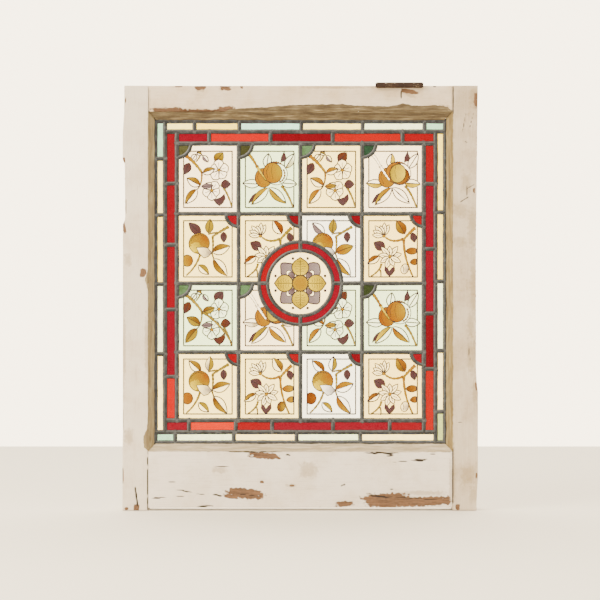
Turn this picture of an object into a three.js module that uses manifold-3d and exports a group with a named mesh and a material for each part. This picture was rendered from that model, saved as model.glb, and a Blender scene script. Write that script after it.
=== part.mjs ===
// A leaded stained glass light in its painted softwood sash, hung at the top on butt hinges, one of which is left.
// Millimetres, +Z up. The weather side, with the putty, faces -Y, and the room side faces +Y.
// The origin is the middle of the sash's top edge.

import * as THREE from "three";
import { mergeVertices } from "three/addons/utils/BufferGeometryUtils.js";
import Module from "manifold-3d";

// Glass layout, measured between the centre lines of the lead cames
const columns = 4;
const quarryWidth = 101.6;
const quarryHeights = [115.8, 114.3, 113.3, 112.2];
const redBorder = 19.5;
const clearBorderSide = 16;
const clearBorderEnd = 17.5;
const greenCornerRadius = 23;
const redCornerRadius = 21;
const ringToQuarry = 0.67;
const ringWidth = 14.5;
const glassThickness = 3;

// Where short cames cross the border strips, as shares of each strip's length, from its top or left end
const clearCuts = {
  left: [0.121, 0.302, 0.524, 0.749],
  top: [0.105, 0.265, 0.486, 0.705, 0.926],
  right: [0.259, 0.481, 0.704, 0.9],
  bottom: [0.071, 0.28, 0.504, 0.731],
};
const redCuts = {
  left: [0.18, 0.392, 0.616, 0.849],
  top: [0.125, 0.362, 0.602, 0.872],
  right: [0.14, 0.365, 0.589, 0.781],
  bottom: [0.092, 0.273, 0.414, 0.649, 0.868],
};

// Lead cames
const edgeCameWidth = 7.6;
const borderCameWidth = 6.8;
const quarryCameWidth = 6.2;
const shortCameWidth = 6.4;
const curvedCameWidth = 5.4;
const heartThickness = 1.6;
const cameCrown = 1.3;
const cameShoulder = 0.27;
const cornerSides = 24;
const roundelSides = 28;
const ringSides = 36;

// Sash timber
const sashThickness = 44;
const stileFace = 42.5;
const topRailFace = 43;
const bottomRailFace = 93;
const hornLength = 4.4;
const rebateWidth = 13;
const rebateDepth = 18;
const ovoloRadius = 9;
const ovoloQuirk = 2;
const tenonThickness = 14;
const topTenonHeight = 28;
const bottomTenonHeight = 68;

// Gaps between the leaded panel and the rebate, filled by the putty
const sideBed = 7;
const topBed = 10.2;
const bottomBed = 8.9;
const puttyLap = 2.4;
const puttyLip = 1.2;
const puttySetBack = 1.5;

// Butt hinge on the top edge
const hingeLength = 75;
const hingeCentre = 162.3;
const leafWidth = 25;
const leafThickness = 2;
const leafGap = 0.4;
const knuckles = 5;
const knuckleRadius = 4.75;
const pinRadius = 2.3;
const pinHeadRadius = 3.7;
const pinHeadLength = 1.4;
const hingeScrews = 3;
const screwRadius = 1.8;
const screwHeadRadius = 3.6;
const screwLength = 18;
const screwSlot = 0.9;
const screwSides = 12;

// Clearances between pieces
const glassEdgeGap = 0.4;
const glassFaceGap = 0.3;
const jointGap = 0.4;
const seatGap = 0.3;
const pinClearance = 0.15;

const wasm = await Module();
wasm.setup();

// Depths along Y
const frontFace = -sashThickness / 2;
const backFace = sashThickness / 2;
const rebateFloor = frontFace + rebateDepth;
const channelHalf = glassThickness / 2 + glassFaceGap;
const cameHalfDepth = channelHalf + cameCrown;
const panelPlane = rebateFloor - seatGap - cameHalfDepth;

// Centre lines of the long cames
const gridHalfWidth = (columns * quarryWidth) / 2;
const gridHeight = quarryHeights.reduce((sum, height) => sum + height, 0);
const redX = gridHalfWidth + redBorder;
const edgeX = redX + clearBorderSide;
const openingHalfWidth = edgeX + edgeCameWidth / 2 + sideBed;
const sashHalfWidth = openingHalfWidth + stileFace;
const openingTop = -topRailFace;
const edgeTop = openingTop - topBed - edgeCameWidth / 2;
const redTop = edgeTop - clearBorderEnd;
const gridTop = redTop - redBorder;
const gridBottom = gridTop - gridHeight;
const redBottom = gridBottom - redBorder;
const edgeBottom = redBottom - clearBorderEnd;
const openingBottom = edgeBottom - edgeCameWidth / 2 - bottomBed;
const railBottom = openingBottom - bottomRailFace;
const stileBottom = railBottom - hornLength;
const columnLines = Array.from({ length: columns + 1 }, (_, i) => -gridHalfWidth + i * quarryWidth);
const rowLines = quarryHeights.reduce((lines, height) => [...lines, lines.at(-1) - height], [gridTop]);
const ringRadius = quarryWidth * ringToQuarry;
const roundelRadius = ringRadius - ringWidth;
const roundelX = columnLines[columns / 2];
const roundelZ = rowLines[quarryHeights.length / 2];
const glassInset = heartThickness / 2 + glassEdgeGap;

// Turns a closed three.js geometry into a solid that can be cut and joined.
function solidFrom(geometry) {
  const bare = geometry.index ? geometry.toNonIndexed() : geometry.clone();
  bare.deleteAttribute("normal");
  bare.deleteAttribute("uv");
  const merged = mergeVertices(bare, 1e-4);
  const mesh = new wasm.Mesh({
    numProp: 3,
    vertProperties: merged.attributes.position.array,
    triVerts: new Uint32Array(merged.index.array),
  });
  return new wasm.Manifold(mesh);
}

// Turns a solid back into a three.js geometry.
function geometryFrom(solid) {
  const mesh = solid.getMesh();
  const positions = new Float32Array(mesh.numVert * 3);
  for (let i = 0; i < mesh.numVert; i++) {
    positions.set(mesh.vertProperties.subarray(i * mesh.numProp, i * mesh.numProp + 3), i * 3);
  }
  const geometry = new THREE.BufferGeometry();
  geometry.setAttribute("position", new THREE.BufferAttribute(positions, 3));
  geometry.setIndex(new THREE.BufferAttribute(new Uint32Array(mesh.triVerts), 1));
  geometry.computeVertexNormals();
  return geometry;
}

function joined(solids) {
  return solids.reduce((whole, solid) => whole.add(solid));
}

// A box from one corner to the opposite one.
function boxBetween([x0, y0, z0], [x1, y1, z1]) {
  const geometry = new THREE.BoxGeometry(x1 - x0, y1 - y0, z1 - z0);
  return solidFrom(geometry.translate((x0 + x1) / 2, (y0 + y1) / 2, (z0 + z1) / 2));
}

function shapeOf(points) {
  return new THREE.Shape(points.map(([u, v]) => new THREE.Vector2(u, v)));
}

// A prism whose outline is drawn in the XZ plane, from depth y0 to depth y1.
function platePrism(outline, y0, y1) {
  const geometry = new THREE.ExtrudeGeometry(shapeOf(outline), { depth: y1 - y0, bevelEnabled: false });
  return solidFrom(geometry.rotateX(Math.PI / 2).translate(0, y1, 0));
}

// A straight moulding from one point in the XZ plane to another. Its section is drawn as [across, depth].
function moulding(section, from, to) {
  const along = new THREE.Vector3(to[0] - from[0], 0, to[1] - from[1]);
  const length = along.length();
  along.normalize();
  const depth = new THREE.Vector3(0, 1, 0);
  const across = new THREE.Vector3().crossVectors(depth, along);
  const geometry = new THREE.ExtrudeGeometry(shapeOf(section), { depth: length, bevelEnabled: false });
  const placed = new THREE.Matrix4().makeBasis(across, depth, along).setPosition(from[0], 0, from[1]);
  return solidFrom(geometry.applyMatrix4(placed));
}

// A cylinder whose axis runs along Y, X or Z.
function rod(axis, radius, [x, y, z], length, sides = 20, farRadius = radius) {
  const geometry = new THREE.CylinderGeometry(farRadius, radius, length, sides);
  if (axis === "x") geometry.rotateZ(-Math.PI / 2);
  if (axis === "z") geometry.rotateX(Math.PI / 2);
  return solidFrom(geometry.translate(x, y, z));
}

const group = new THREE.Group();

// Adds a named piece to the object.
function piece(name, solid, material) {
  const mesh = new THREE.Mesh(geometryFrom(solid), material);
  mesh.name = name;
  group.add(mesh);
}

const finish = (color, roughness, metalness = 0) =>
  new THREE.MeshStandardMaterial({ color, roughness, metalness });
const paint = finish("#e2dacf", 0.65);
const puttyFinish = finish("#b39a6c", 0.9);
const lead = finish("#6d6e6c", 0.55, 0.7);
const rustyIron = finish("#5f3a2c", 0.85, 0.4);
const redGlass = finish("#d8142c", 0.1);
const greenGlass = finish("#6f8a4c", 0.1);
const clearGlass = finish("#efe9d6", 0.1);
const paintedGlass = finish("#f3e7d8", 0.15);

// The timber behind the rebate, which holds the panel: a lip with an ovolo on the room side, mitred to its neighbours.
// The section is drawn as [distance from the rebate wall, depth].
function lipSection() {
  const arcCentre = [rebateWidth - ovoloQuirk - ovoloRadius, backFace - ovoloQuirk - ovoloRadius];
  const steps = 6;
  const arc = Array.from({ length: steps + 1 }, (_, i) => {
    const turn = ((i / steps) * Math.PI) / 2;
    return [arcCentre[0] + ovoloRadius * Math.cos(turn), arcCentre[1] + ovoloRadius * Math.sin(turn)];
  });
  return [
    [-1, rebateFloor],
    [rebateWidth, rebateFloor],
    [rebateWidth, arcCentre[1]],
    ...arc,
    [arcCentre[0], backFace],
    [-1, backFace],
  ];
}

// Cuts a lip to the mitre lines of its two ends. Each end is [rebate corner, towards the middle of the opening].
function mitred(lip, ends, reach) {
  const outline = [
    [ends[0][0] - ends[0][2] * reach, ends[0][1] - ends[0][3] * reach],
    [ends[1][0] - ends[1][2] * reach, ends[1][1] - ends[1][3] * reach],
    [ends[1][0] + ends[1][2] * reach, ends[1][1] + ends[1][3] * reach],
    [ends[0][0] + ends[0][2] * reach, ends[0][1] + ends[0][3] * reach],
  ];
  return lip.intersect(platePrism(outline, frontFace - 1, backFace + 1));
}

// A through tenon, or with a gap the mortise that takes it.
function tenon(side, top, height, gap) {
  const inner = side * (openingHalfWidth - 1);
  const outer = side * (sashHalfWidth - (gap ? -1 : seatGap));
  const [low, high] = inner < outer ? [inner, outer] : [outer, inner];
  return boxBetween(
    [low, rebateFloor - gap, top - height - gap],
    [high, rebateFloor + tenonThickness + gap, top + gap],
  );
}

const topTenonTop = -(topRailFace - topTenonHeight) * 0.7;
const bottomTenonTop = openingBottom - (bottomRailFace - bottomTenonHeight) * 0.4;

function stile(side) {
  const outer = side * sashHalfWidth;
  const inner = side * openingHalfWidth;
  const [low, high] = side < 0 ? [outer, inner] : [inner, outer];
  const blank = boxBetween([low, frontFace, stileBottom], [high, backFace, 0]);
  const section = lipSection();
  const run = side < 0 ? [openingBottom, openingTop] : [openingTop, openingBottom];
  const lip = moulding(section, [inner, run[0]], [inner, run[1]]);
  const slip = jointGap / 2;
  const shaped = mitred(
    lip,
    [
      [inner, openingTop - slip, -side, -1],
      [inner, openingBottom + slip, -side, 1],
    ],
    rebateWidth * 2,
  );
  return blank
    .add(shaped)
    .subtract(tenon(side, topTenonTop, topTenonHeight, seatGap))
    .subtract(tenon(side, bottomTenonTop, bottomTenonHeight, seatGap));
}

// A rail, with its face running from the opening to its outer edge.
function rail(openingEdge, outerEdge, tenonTop, tenonHeight) {
  const down = Math.sign(openingEdge - outerEdge);
  const end = openingHalfWidth - jointGap;
  const [low, high] = down < 0 ? [openingEdge, outerEdge] : [outerEdge, openingEdge];
  const blank = boxBetween([-end, frontFace, low], [end, backFace, high]);
  const run = down < 0 ? [-end, end] : [end, -end];
  const lip = moulding(lipSection(), [run[0], openingEdge], [run[1], openingEdge]);
  const slip = jointGap / 2;
  const shaped = mitred(
    lip,
    [
      [-openingHalfWidth + slip, openingEdge, 1, down],
      [openingHalfWidth - slip, openingEdge, -1, down],
    ],
    rebateWidth * 2,
  );
  return blank
    .add(shaped)
    .add(tenon(-1, tenonTop, tenonHeight, 0))
    .add(tenon(1, tenonTop, tenonHeight, 0));
}

// Butt hinge. The sash leaf is let into the top rail, and the frame leaf lies folded over it.
const hingeStart = hingeCentre - hingeLength / 2;
const knuckleLength = hingeLength / knuckles;
const pinY = frontFace - knuckleRadius - jointGap;
const pinZ = leafGap / 2;
const leafEnd = frontFace + leafWidth;
const boreRadius = pinRadius + pinClearance;
const screwPlaces = Array.from({ length: hingeScrews }, (_, i) => [
  hingeStart + ((i + 0.5) * hingeLength) / hingeScrews,
  (frontFace + leafEnd) / 2 + (i % 2 ? 1 : -1) * leafWidth * 0.13,
]);

// A leaf with every other knuckle, from the first or the second on.
function hingeLeaf(firstKnuckle, low, high) {
  const clear = pinY + knuckleRadius + jointGap;
  let leaf = boxBetween([hingeStart, clear, low], [hingeStart + hingeLength, leafEnd, high]);
  for (let i = firstKnuckle; i < knuckles; i += 2) {
    const from = hingeStart + i * knuckleLength + (i ? jointGap / 2 : 0);
    const to = hingeStart + (i + 1) * knuckleLength - (i < knuckles - 1 ? jointGap / 2 : 0);
    leaf = leaf
      .add(rod("x", knuckleRadius, [(from + to) / 2, pinY, pinZ], to - from))
      .add(boxBetween([from, pinY, low], [to, clear + 1, high]));
  }
  return leaf.subtract(rod("x", boreRadius, [hingeCentre, pinY, pinZ], hingeLength + 2));
}

// A countersunk screw standing in the sash leaf, or with a gap the hole that takes it.
function screwSolid([x, y], gap) {
  const head = rod("z", screwRadius + gap, [x, y, -leafThickness / 2], leafThickness, screwSides, screwHeadRadius + gap);
  const shank = rod("z", screwRadius + gap, [x, y, -screwLength / 2], screwLength + gap * 2, screwSides);
  return head.add(shank.intersect(boxBetween([x - 9, y - 9, -screwLength - 1], [x + 9, y + 9, -leafThickness / 2])));
}

function hingeScrew(place) {
  const slot = boxBetween(
    [place[0] - screwHeadRadius, place[1] - screwSlot / 2, -screwSlot],
    [place[0] + screwHeadRadius, place[1] + screwSlot / 2, 1],
  );
  return screwSolid(place, 0).subtract(slot);
}

function sashLeaf() {
  const drilled = screwPlaces.reduce(
    (leaf, place) => leaf.subtract(screwSolid(place, seatGap)),
    hingeLeaf(0, -leafThickness, 0),
  );
  return drilled;
}

function frameLeaf() {
  const middle = leafGap + leafThickness / 2;
  return screwPlaces.reduce(
    (leaf, [x, y]) =>
      leaf.subtract(
        rod("z", screwHeadRadius, [x, y, middle], leafThickness + 0.02, screwSides, screwRadius + seatGap),
      ),
    hingeLeaf(1, leafGap, leafGap + leafThickness),
  );
}

function hingePin() {
  const headPlace = hingeLength / 2 + seatGap + pinHeadLength / 2;
  return rod("x", pinRadius, [hingeCentre, pinY, pinZ], hingeLength + 2 * seatGap + pinHeadLength)
    .add(rod("x", pinHeadRadius, [hingeCentre - headPlace, pinY, pinZ], pinHeadLength))
    .add(rod("x", pinHeadRadius, [hingeCentre + headPlace, pinY, pinZ], pinHeadLength));
}

// The recess in the top rail that takes the sash leaf and its screws.
function hingeGain() {
  const recess = boxBetween(
    [hingeStart - seatGap, frontFace - 1, -leafThickness - seatGap],
    [hingeStart + hingeLength + seatGap, leafEnd + seatGap, 1],
  );
  return joined([recess, ...screwPlaces.map((place) => screwSolid(place, seatGap))]);
}

function addSash() {
  piece("left_stile", stile(-1), paint);
  piece("right_stile", stile(1), paint);
  const topRail = rail(openingTop, 0, topTenonTop, topTenonHeight).subtract(hingeGain());
  piece("top_rail", topRail, paint);
  piece("bottom_rail", rail(openingBottom, railBottom, bottomTenonTop, bottomTenonHeight), paint);
}

function addHinge() {
  piece("hinge_sash_leaf", sashLeaf(), rustyIron);
  piece("hinge_frame_leaf", frameLeaf(), rustyIron);
  piece("hinge_pin", hingePin(), rustyIron);
  screwPlaces.forEach((place, i) => piece(`hinge_screw_${i + 1}`, hingeScrew(place), rustyIron));
}

// Putty: a bed between the panel's edge came and the rebate wall, with a fillet that slopes out to the sash's face.
function puttyRun(name, from, to, bed, insetStart, insetEnd) {
  const cameFace = panelPlane - cameHalfDepth - seatGap;
  const section = [
    [seatGap, frontFace + puttySetBack],
    [bed + puttyLap, cameFace - puttyLip],
    [bed + puttyLap, cameFace],
    [bed - seatGap, cameFace],
    [bed - seatGap, rebateFloor - seatGap],
    [seatGap, rebateFloor - seatGap],
  ];
  const along = new THREE.Vector2(to[0] - from[0], to[1] - from[1]).normalize();
  const inward = [-along.y, along.x].map((value) => -value);
  const slip = jointGap / 2;
  const corner = (place, sign, inset) => [
    [place[0] + sign * along.x * slip, place[1] + sign * along.y * slip],
    [
      place[0] + sign * along.x * (inset * 2 + slip) + inward[0] * bed * 2,
      place[1] + sign * along.y * (inset * 2 + slip) + inward[1] * bed * 2,
    ],
  ];
  const start = corner(from, 1, insetStart);
  const end = corner(to, -1, insetEnd);
  const outline = [start[0], end[0], end[1], start[1]];
  const turned = THREE.ShapeUtils.isClockWise(outline.map(([x, y]) => new THREE.Vector2(x, y)));
  const plan = platePrism(turned ? outline.reverse() : outline, frontFace - 1, backFace);
  piece(name, moulding(section, from, to).intersect(plan), puttyFinish);
}

function addPutty() {
  const left = -openingHalfWidth;
  const right = openingHalfWidth;
  puttyRun("putty_left", [left, openingBottom], [left, openingTop], sideBed, bottomBed, topBed);
  puttyRun("putty_top", [left, openingTop], [right, openingTop], topBed, sideBed, sideBed);
  puttyRun("putty_right", [right, openingTop], [right, openingBottom], sideBed, topBed, bottomBed);
  puttyRun("putty_bottom", [right, openingBottom], [left, openingBottom], bottomBed, sideBed, sideBed);
}

// Outer side of one came flange, drawn as [across, distance from the panel's plane].
function flangeFace(width) {
  return [
    [-width / 2, channelHalf],
    [-width * cameShoulder, cameHalfDepth],
    [width * cameShoulder, cameHalfDepth],
    [width / 2, channelHalf],
  ];
}

// An H section: two rounded flanges joined by the heart, which stands between two pieces of glass.
function cameSection(width) {
  const heart = heartThickness / 2;
  const room = flangeFace(width).reverse();
  const weather = flangeFace(width).map(([u, v]) => [u, -v]);
  const section = [
    ...weather,
    [heart, -channelHalf],
    [heart, channelHalf],
    ...room,
    [-heart, channelHalf],
    [-heart, -channelHalf],
  ];
  return section.map(([u, v]) => [u, panelPlane + v]);
}

// A came across a border strip: only its two flanges, because each strip's glass is one piece here.
function flangeSections(width) {
  const face = flangeFace(width);
  return [-1, 1].map((way) => face.map(([u, v]) => [u, panelPlane + way * v]));
}

function came(width, from, to) {
  return moulding(cameSection(width), from, to);
}

// A came bent into a full ring.
function ringCame(width, radius, centre, sides) {
  const profile = cameSection(width).map(([u, v]) => new THREE.Vector2(radius + u, v));
  profile.push(profile[0].clone());
  return solidFrom(new THREE.LatheGeometry(profile, sides)).translate([centre[0], 0, centre[1]]);
}

// A quarter of a ring, from one came to the next, below a crossing and to one side of it.
function cornerCame(radius, crossing, side) {
  const reach = radius + curvedCameWidth;
  const [low, high] = side < 0 ? [crossing[0] - reach, crossing[0]] : [crossing[0], crossing[0] + reach];
  const quarter = boxBetween([low, frontFace, crossing[1] - reach], [high, backFace, crossing[1]]);
  return ringCame(curvedCameWidth, radius, crossing, cornerSides).intersect(quarter);
}

// Where the coloured corners sit: green ones at the top left of odd rows, red ones at the top right of even rows.
function cornerPlaces() {
  const places = [];
  for (let row = 0; row < quarryHeights.length; row++) {
    for (let column = 0; column < columns; column++) {
      const green = row % 2 === 0;
      const crossing = [columnLines[green ? column : column + 1], rowLines[row]];
      const underRoundel = Math.hypot(crossing[0] - roundelX, crossing[1] - roundelZ) < ringRadius;
      if (!underRoundel) {
        const radius = green ? greenCornerRadius : redCornerRadius;
        places.push({ row, column, green, crossing, side: green ? 1 : -1, radius });
      }
    }
  }
  return places;
}

// The border strips run round like a pinwheel: each one ends against the side of the next.
function stripBoxes(innerX, innerTop, innerBottom, outerX, outerTop, outerBottom) {
  return {
    left: { low: [-outerX, innerBottom], high: [-innerX, outerTop], upright: true },
    top: { low: [-innerX, innerTop], high: [outerX, outerTop], upright: false },
    right: { low: [innerX, outerBottom], high: [outerX, innerTop], upright: true },
    bottom: { low: [-outerX, outerBottom], high: [innerX, innerBottom], upright: false },
  };
}

const clearStrips = stripBoxes(redX, redTop, redBottom, edgeX, edgeTop, edgeBottom);
const redStrips = stripBoxes(gridHalfWidth, gridTop, gridBottom, redX, redTop, redBottom);

// The short cames that cross one border strip.
function crossCames({ low, high, upright }, cuts) {
  return cuts.flatMap((share) => {
    const z = high[1] - share * (high[1] - low[1]);
    const x = low[0] + share * (high[0] - low[0]);
    const [from, to] = upright ? [[low[0], z], [high[0], z]] : [[x, low[1]], [x, high[1]]];
    return flangeSections(shortCameWidth).map((flange) => moulding(flange, from, to));
  });
}

// The inner edge of each strip is one long came, as long as the strip.
function stripCames(strips, width) {
  return [
    came(width, [strips.left.high[0], strips.left.low[1]], strips.left.high),
    came(width, strips.top.low, [strips.top.high[0], strips.top.low[1]]),
    came(width, strips.right.low, [strips.right.low[0], strips.right.high[1]]),
    came(width, [strips.bottom.low[0], strips.bottom.high[1]], strips.bottom.high),
  ];
}

function edgeCames() {
  const reach = edgeCameWidth / 2;
  return [
    came(edgeCameWidth, [-edgeX, edgeBottom - reach], [-edgeX, edgeTop + reach]),
    came(edgeCameWidth, [edgeX, edgeBottom - reach], [edgeX, edgeTop + reach]),
    came(edgeCameWidth, [-edgeX - reach, edgeTop], [edgeX + reach, edgeTop]),
    came(edgeCameWidth, [-edgeX - reach, edgeBottom], [edgeX + reach, edgeBottom]),
  ];
}

// The lines between the quarries, left open where the roundel sits.
function quarryCames() {
  const upright = columnLines.slice(1, -1).map((x) => came(quarryCameWidth, [x, gridBottom], [x, gridTop]));
  const level = rowLines
    .slice(1, -1)
    .map((z) => came(quarryCameWidth, [-gridHalfWidth, z], [gridHalfWidth, z]));
  const hole = rod("y", ringRadius, [roundelX, panelPlane, roundelZ], sashThickness, ringSides);
  return joined([...upright, ...level]).subtract(hole);
}

function roundelCames() {
  const centre = [roundelX, roundelZ];
  const spokes = [
    [0, 1],
    [1, 0],
    [0, -1],
    [-1, 0],
  ].map(([x, z]) =>
    came(
      quarryCameWidth,
      [roundelX + x * roundelRadius, roundelZ + z * roundelRadius],
      [roundelX + x * ringRadius, roundelZ + z * ringRadius],
    ),
  );
  return [
    ringCame(curvedCameWidth, roundelRadius, centre, roundelSides),
    ringCame(curvedCameWidth, ringRadius, centre, ringSides),
    ...spokes,
  ];
}

function addLead() {
  const cames = [
    ...edgeCames(),
    ...stripCames(clearStrips, borderCameWidth),
    ...stripCames(redStrips, borderCameWidth),
    quarryCames(),
    ...roundelCames(),
    ...cornerPlaces().map(({ radius, crossing, side }) => cornerCame(radius, crossing, side)),
    ...Object.keys(clearStrips).flatMap((side) => crossCames(clearStrips[side], clearCuts[side])),
    ...Object.keys(redStrips).flatMap((side) => crossCames(redStrips[side], redCuts[side])),
  ];
  piece("lead_cames", joined(cames), lead);
}

const glassFront = panelPlane - glassThickness / 2;
const glassBack = panelPlane + glassThickness / 2;

// A rectangle of glass cut to stand clear of the hearts round it.
function glassBetween([x0, z0], [x1, z1]) {
  return boxBetween([x0 + glassInset, glassFront, z0 + glassInset], [x1 - glassInset, glassBack, z1 - glassInset]);
}

function glassDisc(radius, [x, z], sides) {
  return rod("y", radius, [x, panelPlane, z], sashThickness, sides);
}

function addQuarries() {
  const corners = cornerPlaces();
  const ringHole = glassDisc(ringRadius + glassInset, [roundelX, roundelZ], ringSides);
  for (let row = 0; row < quarryHeights.length; row++) {
    for (let column = 0; column < columns; column++) {
      const whole = glassBetween([columnLines[column], rowLines[row + 1]], [columnLines[column + 1], rowLines[row]]);
      const corner = corners.find((place) => place.row === row && place.column === column);
      const cut = corner
        ? whole.subtract(glassDisc(corner.radius + glassInset, corner.crossing, cornerSides))
        : whole;
      piece(`quarry_r${row + 1}c${column + 1}`, cut.subtract(ringHole), paintedGlass);
    }
  }
}

function addCorners() {
  for (const { row, column, green, crossing, side, radius } of cornerPlaces()) {
    const [low, high] = side < 0 ? [crossing[0] - radius, crossing[0]] : [crossing[0], crossing[0] + radius];
    const square = glassBetween([low - radius, crossing[1] - radius * 2], [high + radius, crossing[1]]);
    const inCell = boxBetween(
      [side < 0 ? low : low + glassInset, frontFace, crossing[1] - radius],
      [side < 0 ? high - glassInset : high, backFace, crossing[1]],
    );
    const solid = square.intersect(inCell).intersect(glassDisc(radius - glassInset, crossing, cornerSides));
    const colour = green ? "green" : "red";
    piece(`${colour}_corner_r${row + 1}c${column + 1}`, solid, green ? greenGlass : redGlass);
  }
}

function addRoundel() {
  const centre = [roundelX, roundelZ];
  const plate = boxBetween(
    [roundelX - ringRadius, glassFront, roundelZ - ringRadius],
    [roundelX + ringRadius, glassBack, roundelZ + ringRadius],
  );
  piece("roundel_glass", plate.intersect(glassDisc(roundelRadius - glassInset, centre, roundelSides)), paintedGlass);
  const ring = plate
    .intersect(glassDisc(ringRadius - glassInset, centre, ringSides))
    .subtract(glassDisc(roundelRadius + glassInset, centre, roundelSides));
  const quadrants = { upper_right: [1, 1], lower_right: [1, -1], lower_left: [-1, -1], upper_left: [-1, 1] };
  for (const [name, [sideX, sideZ]] of Object.entries(quadrants)) {
    const near = [roundelX + sideX * glassInset, roundelZ + sideZ * glassInset];
    const far = [roundelX + sideX * ringRadius, roundelZ + sideZ * ringRadius];
    const quadrant = boxBetween(
      [Math.min(near[0], far[0]), frontFace, Math.min(near[1], far[1])],
      [Math.max(near[0], far[0]), backFace, Math.max(near[1], far[1])],
    );
    piece(`red_ring_${name}`, ring.intersect(quadrant), redGlass);
  }
}

function addBorders() {
  for (const side of Object.keys(redStrips)) {
    piece(`red_border_${side}`, glassBetween(redStrips[side].low, redStrips[side].high), redGlass);
  }
  for (const side of Object.keys(clearStrips)) {
    piece(`clear_border_${side}`, glassBetween(clearStrips[side].low, clearStrips[side].high), clearGlass);
  }
}

addSash();
addHinge();
addPutty();
addLead();
addQuarries();
addCorners();
addRoundel();
addBorders();

export default group;
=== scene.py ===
"""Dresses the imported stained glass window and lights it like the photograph."""

import logging
import math
from dataclasses import dataclass, field
from enum import Enum

import bpy
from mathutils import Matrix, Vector, noise
from mathutils.geometry import delaunay_2d_cdt


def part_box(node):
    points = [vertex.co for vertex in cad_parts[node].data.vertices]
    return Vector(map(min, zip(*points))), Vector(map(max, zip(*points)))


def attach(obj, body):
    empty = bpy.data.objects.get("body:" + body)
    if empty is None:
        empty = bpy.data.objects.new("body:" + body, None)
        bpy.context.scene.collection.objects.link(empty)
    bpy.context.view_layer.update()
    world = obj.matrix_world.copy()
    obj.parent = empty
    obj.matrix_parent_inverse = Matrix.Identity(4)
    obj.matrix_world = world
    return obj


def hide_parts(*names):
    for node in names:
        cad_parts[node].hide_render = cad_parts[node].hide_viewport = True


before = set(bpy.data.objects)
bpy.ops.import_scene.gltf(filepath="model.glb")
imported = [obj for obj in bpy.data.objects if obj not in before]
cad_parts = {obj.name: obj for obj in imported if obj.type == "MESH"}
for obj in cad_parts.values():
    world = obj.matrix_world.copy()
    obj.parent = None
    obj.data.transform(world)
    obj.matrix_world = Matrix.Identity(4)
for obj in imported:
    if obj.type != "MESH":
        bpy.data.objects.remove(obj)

logging.basicConfig(level=logging.INFO, format="%(message)s")
log = logging.getLogger("window")

MM = 0.001
Point = tuple[float, float]
Colour = tuple[float, float, float, float]
Paint = tuple[Colour, Colour]
Input = bpy.types.NodeSocket | float | Colour


def mm(*values: float) -> tuple[float, ...]:
    """Converts millimetres to metres."""
    return tuple(value * MM for value in values)


def linear(text: str) -> Colour:
    """Turns an sRGB hex colour into the linear values that a shader takes.

    Args:
        text: Six hex digits, with or without a hash.

    Returns:
        Linear red, green and blue, and 1.
    """
    text = text.lstrip("#")
    channels = [int(text[i : i + 2], 16) / 255 for i in (0, 2, 4)]
    out = [c / 12.92 if c <= 0.04045 else ((c + 0.055) / 1.055) ** 2.4 for c in channels]
    return (out[0], out[1], out[2], 1.0)


def wobble(x: float, y: float, z: float, size: float) -> float:
    """Gives smooth noise between about -1 and 1."""
    return noise.noise(Vector((x / size, y / size, z / size)))


def between(a: Point, b: Point, share: float) -> Point:
    """Finds a point on a line."""
    return (a[0] + (b[0] - a[0]) * share, a[1] + (b[1] - a[1]) * share)


def around(x: float, z: float, radius: float, turn: float) -> Point:
    """Finds a point on a circle."""
    return (x + radius * math.cos(turn), z + radius * math.sin(turn))


def ramp(points: tuple[Point, ...], at: float) -> float:
    """Reads a value off a line through given points.

    Args:
        points: Places and values, in order.
        at: Place to read at.

    Returns:
        The value there.
    """
    if at <= points[0][0]:
        return points[0][1]
    for (x0, v0), (x1, v1) in zip(points, points[1:]):
        if at <= x1:
            return v0 + (v1 - v0) * (at - x0) / (x1 - x0)
    return points[-1][1]


@dataclass(frozen=True)
class Run:
    """A straight run in the XZ plane.

    Args:
        start: Its start.
        end: Its end.
    """

    start: Point
    end: Point

    @property
    def length(self) -> float:
        """Length of the run."""
        return math.dist(self.start, self.end)

    def at(self, along: float, inward: float) -> Point:
        """Finds a place beside the run."""
        tx, tz = (self.end[0] - self.start[0]) / self.length, (self.end[1] - self.start[1]) / self.length
        return (self.start[0] + tx * along + tz * inward, self.start[1] + tz * along - tx * inward)


# Materials


class Nodes:
    """Adds nodes to one node tree."""

    def __init__(self, tree: bpy.types.NodeTree) -> None:
        """Takes the tree."""
        self.tree = tree

    def node(self, kind: str, settings: dict | None = None, **inputs: object) -> bpy.types.Node:
        """Adds a node.

        Args:
            kind: Blender's node type without the ShaderNode prefix.
            settings: Properties of the node.
            inputs: Values or sockets by input name, with underscores for spaces, or i and a number.

        Returns:
            The node.
        """
        made = self.tree.nodes.new("ShaderNode" + kind)
        for key, value in (settings or {}).items():
            setattr(made, key, value)
        for key, value in inputs.items():
            place = int(key[1:]) if key[0] == "i" and key[1:].isdigit() else key.replace("_", " ")
            self.join(made.inputs[place], value)
        return made

    def join(self, socket: bpy.types.NodeSocket, value: object) -> None:
        """Sets a socket to a value, or links another socket to it.

        Args:
            socket: Input socket.
            value: Number, tuple or output socket.
        """
        if isinstance(value, bpy.types.NodeSocket):
            self.tree.links.new(value, socket)
        else:
            socket.default_value = value

    def steps(self, value: Input, low: float, high: float, to_low: float = 0, to_high: float = 1) -> Input:
        """Maps a range smoothly onto another."""
        smooth = {"interpolation_type": "SMOOTHSTEP"}
        return self.node("MapRange", smooth, i0=value, i1=low, i2=high, i3=to_low, i4=to_high).outputs[0]

    def maths(self, operation: str, a: Input, b: Input = 0.0) -> Input:
        """Combines two numbers."""
        return self.node("Math", {"operation": operation}, i0=a, i1=b).outputs[0]

    def mix(self, factor: Input, a: Input, b: Input, blend: str = "MIX") -> Input:
        """Mixes two colours."""
        settings = {"data_type": "RGBA", "blend_type": blend}
        return self.node("Mix", settings, i0=factor, i6=a, i7=b).outputs[2]


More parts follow.
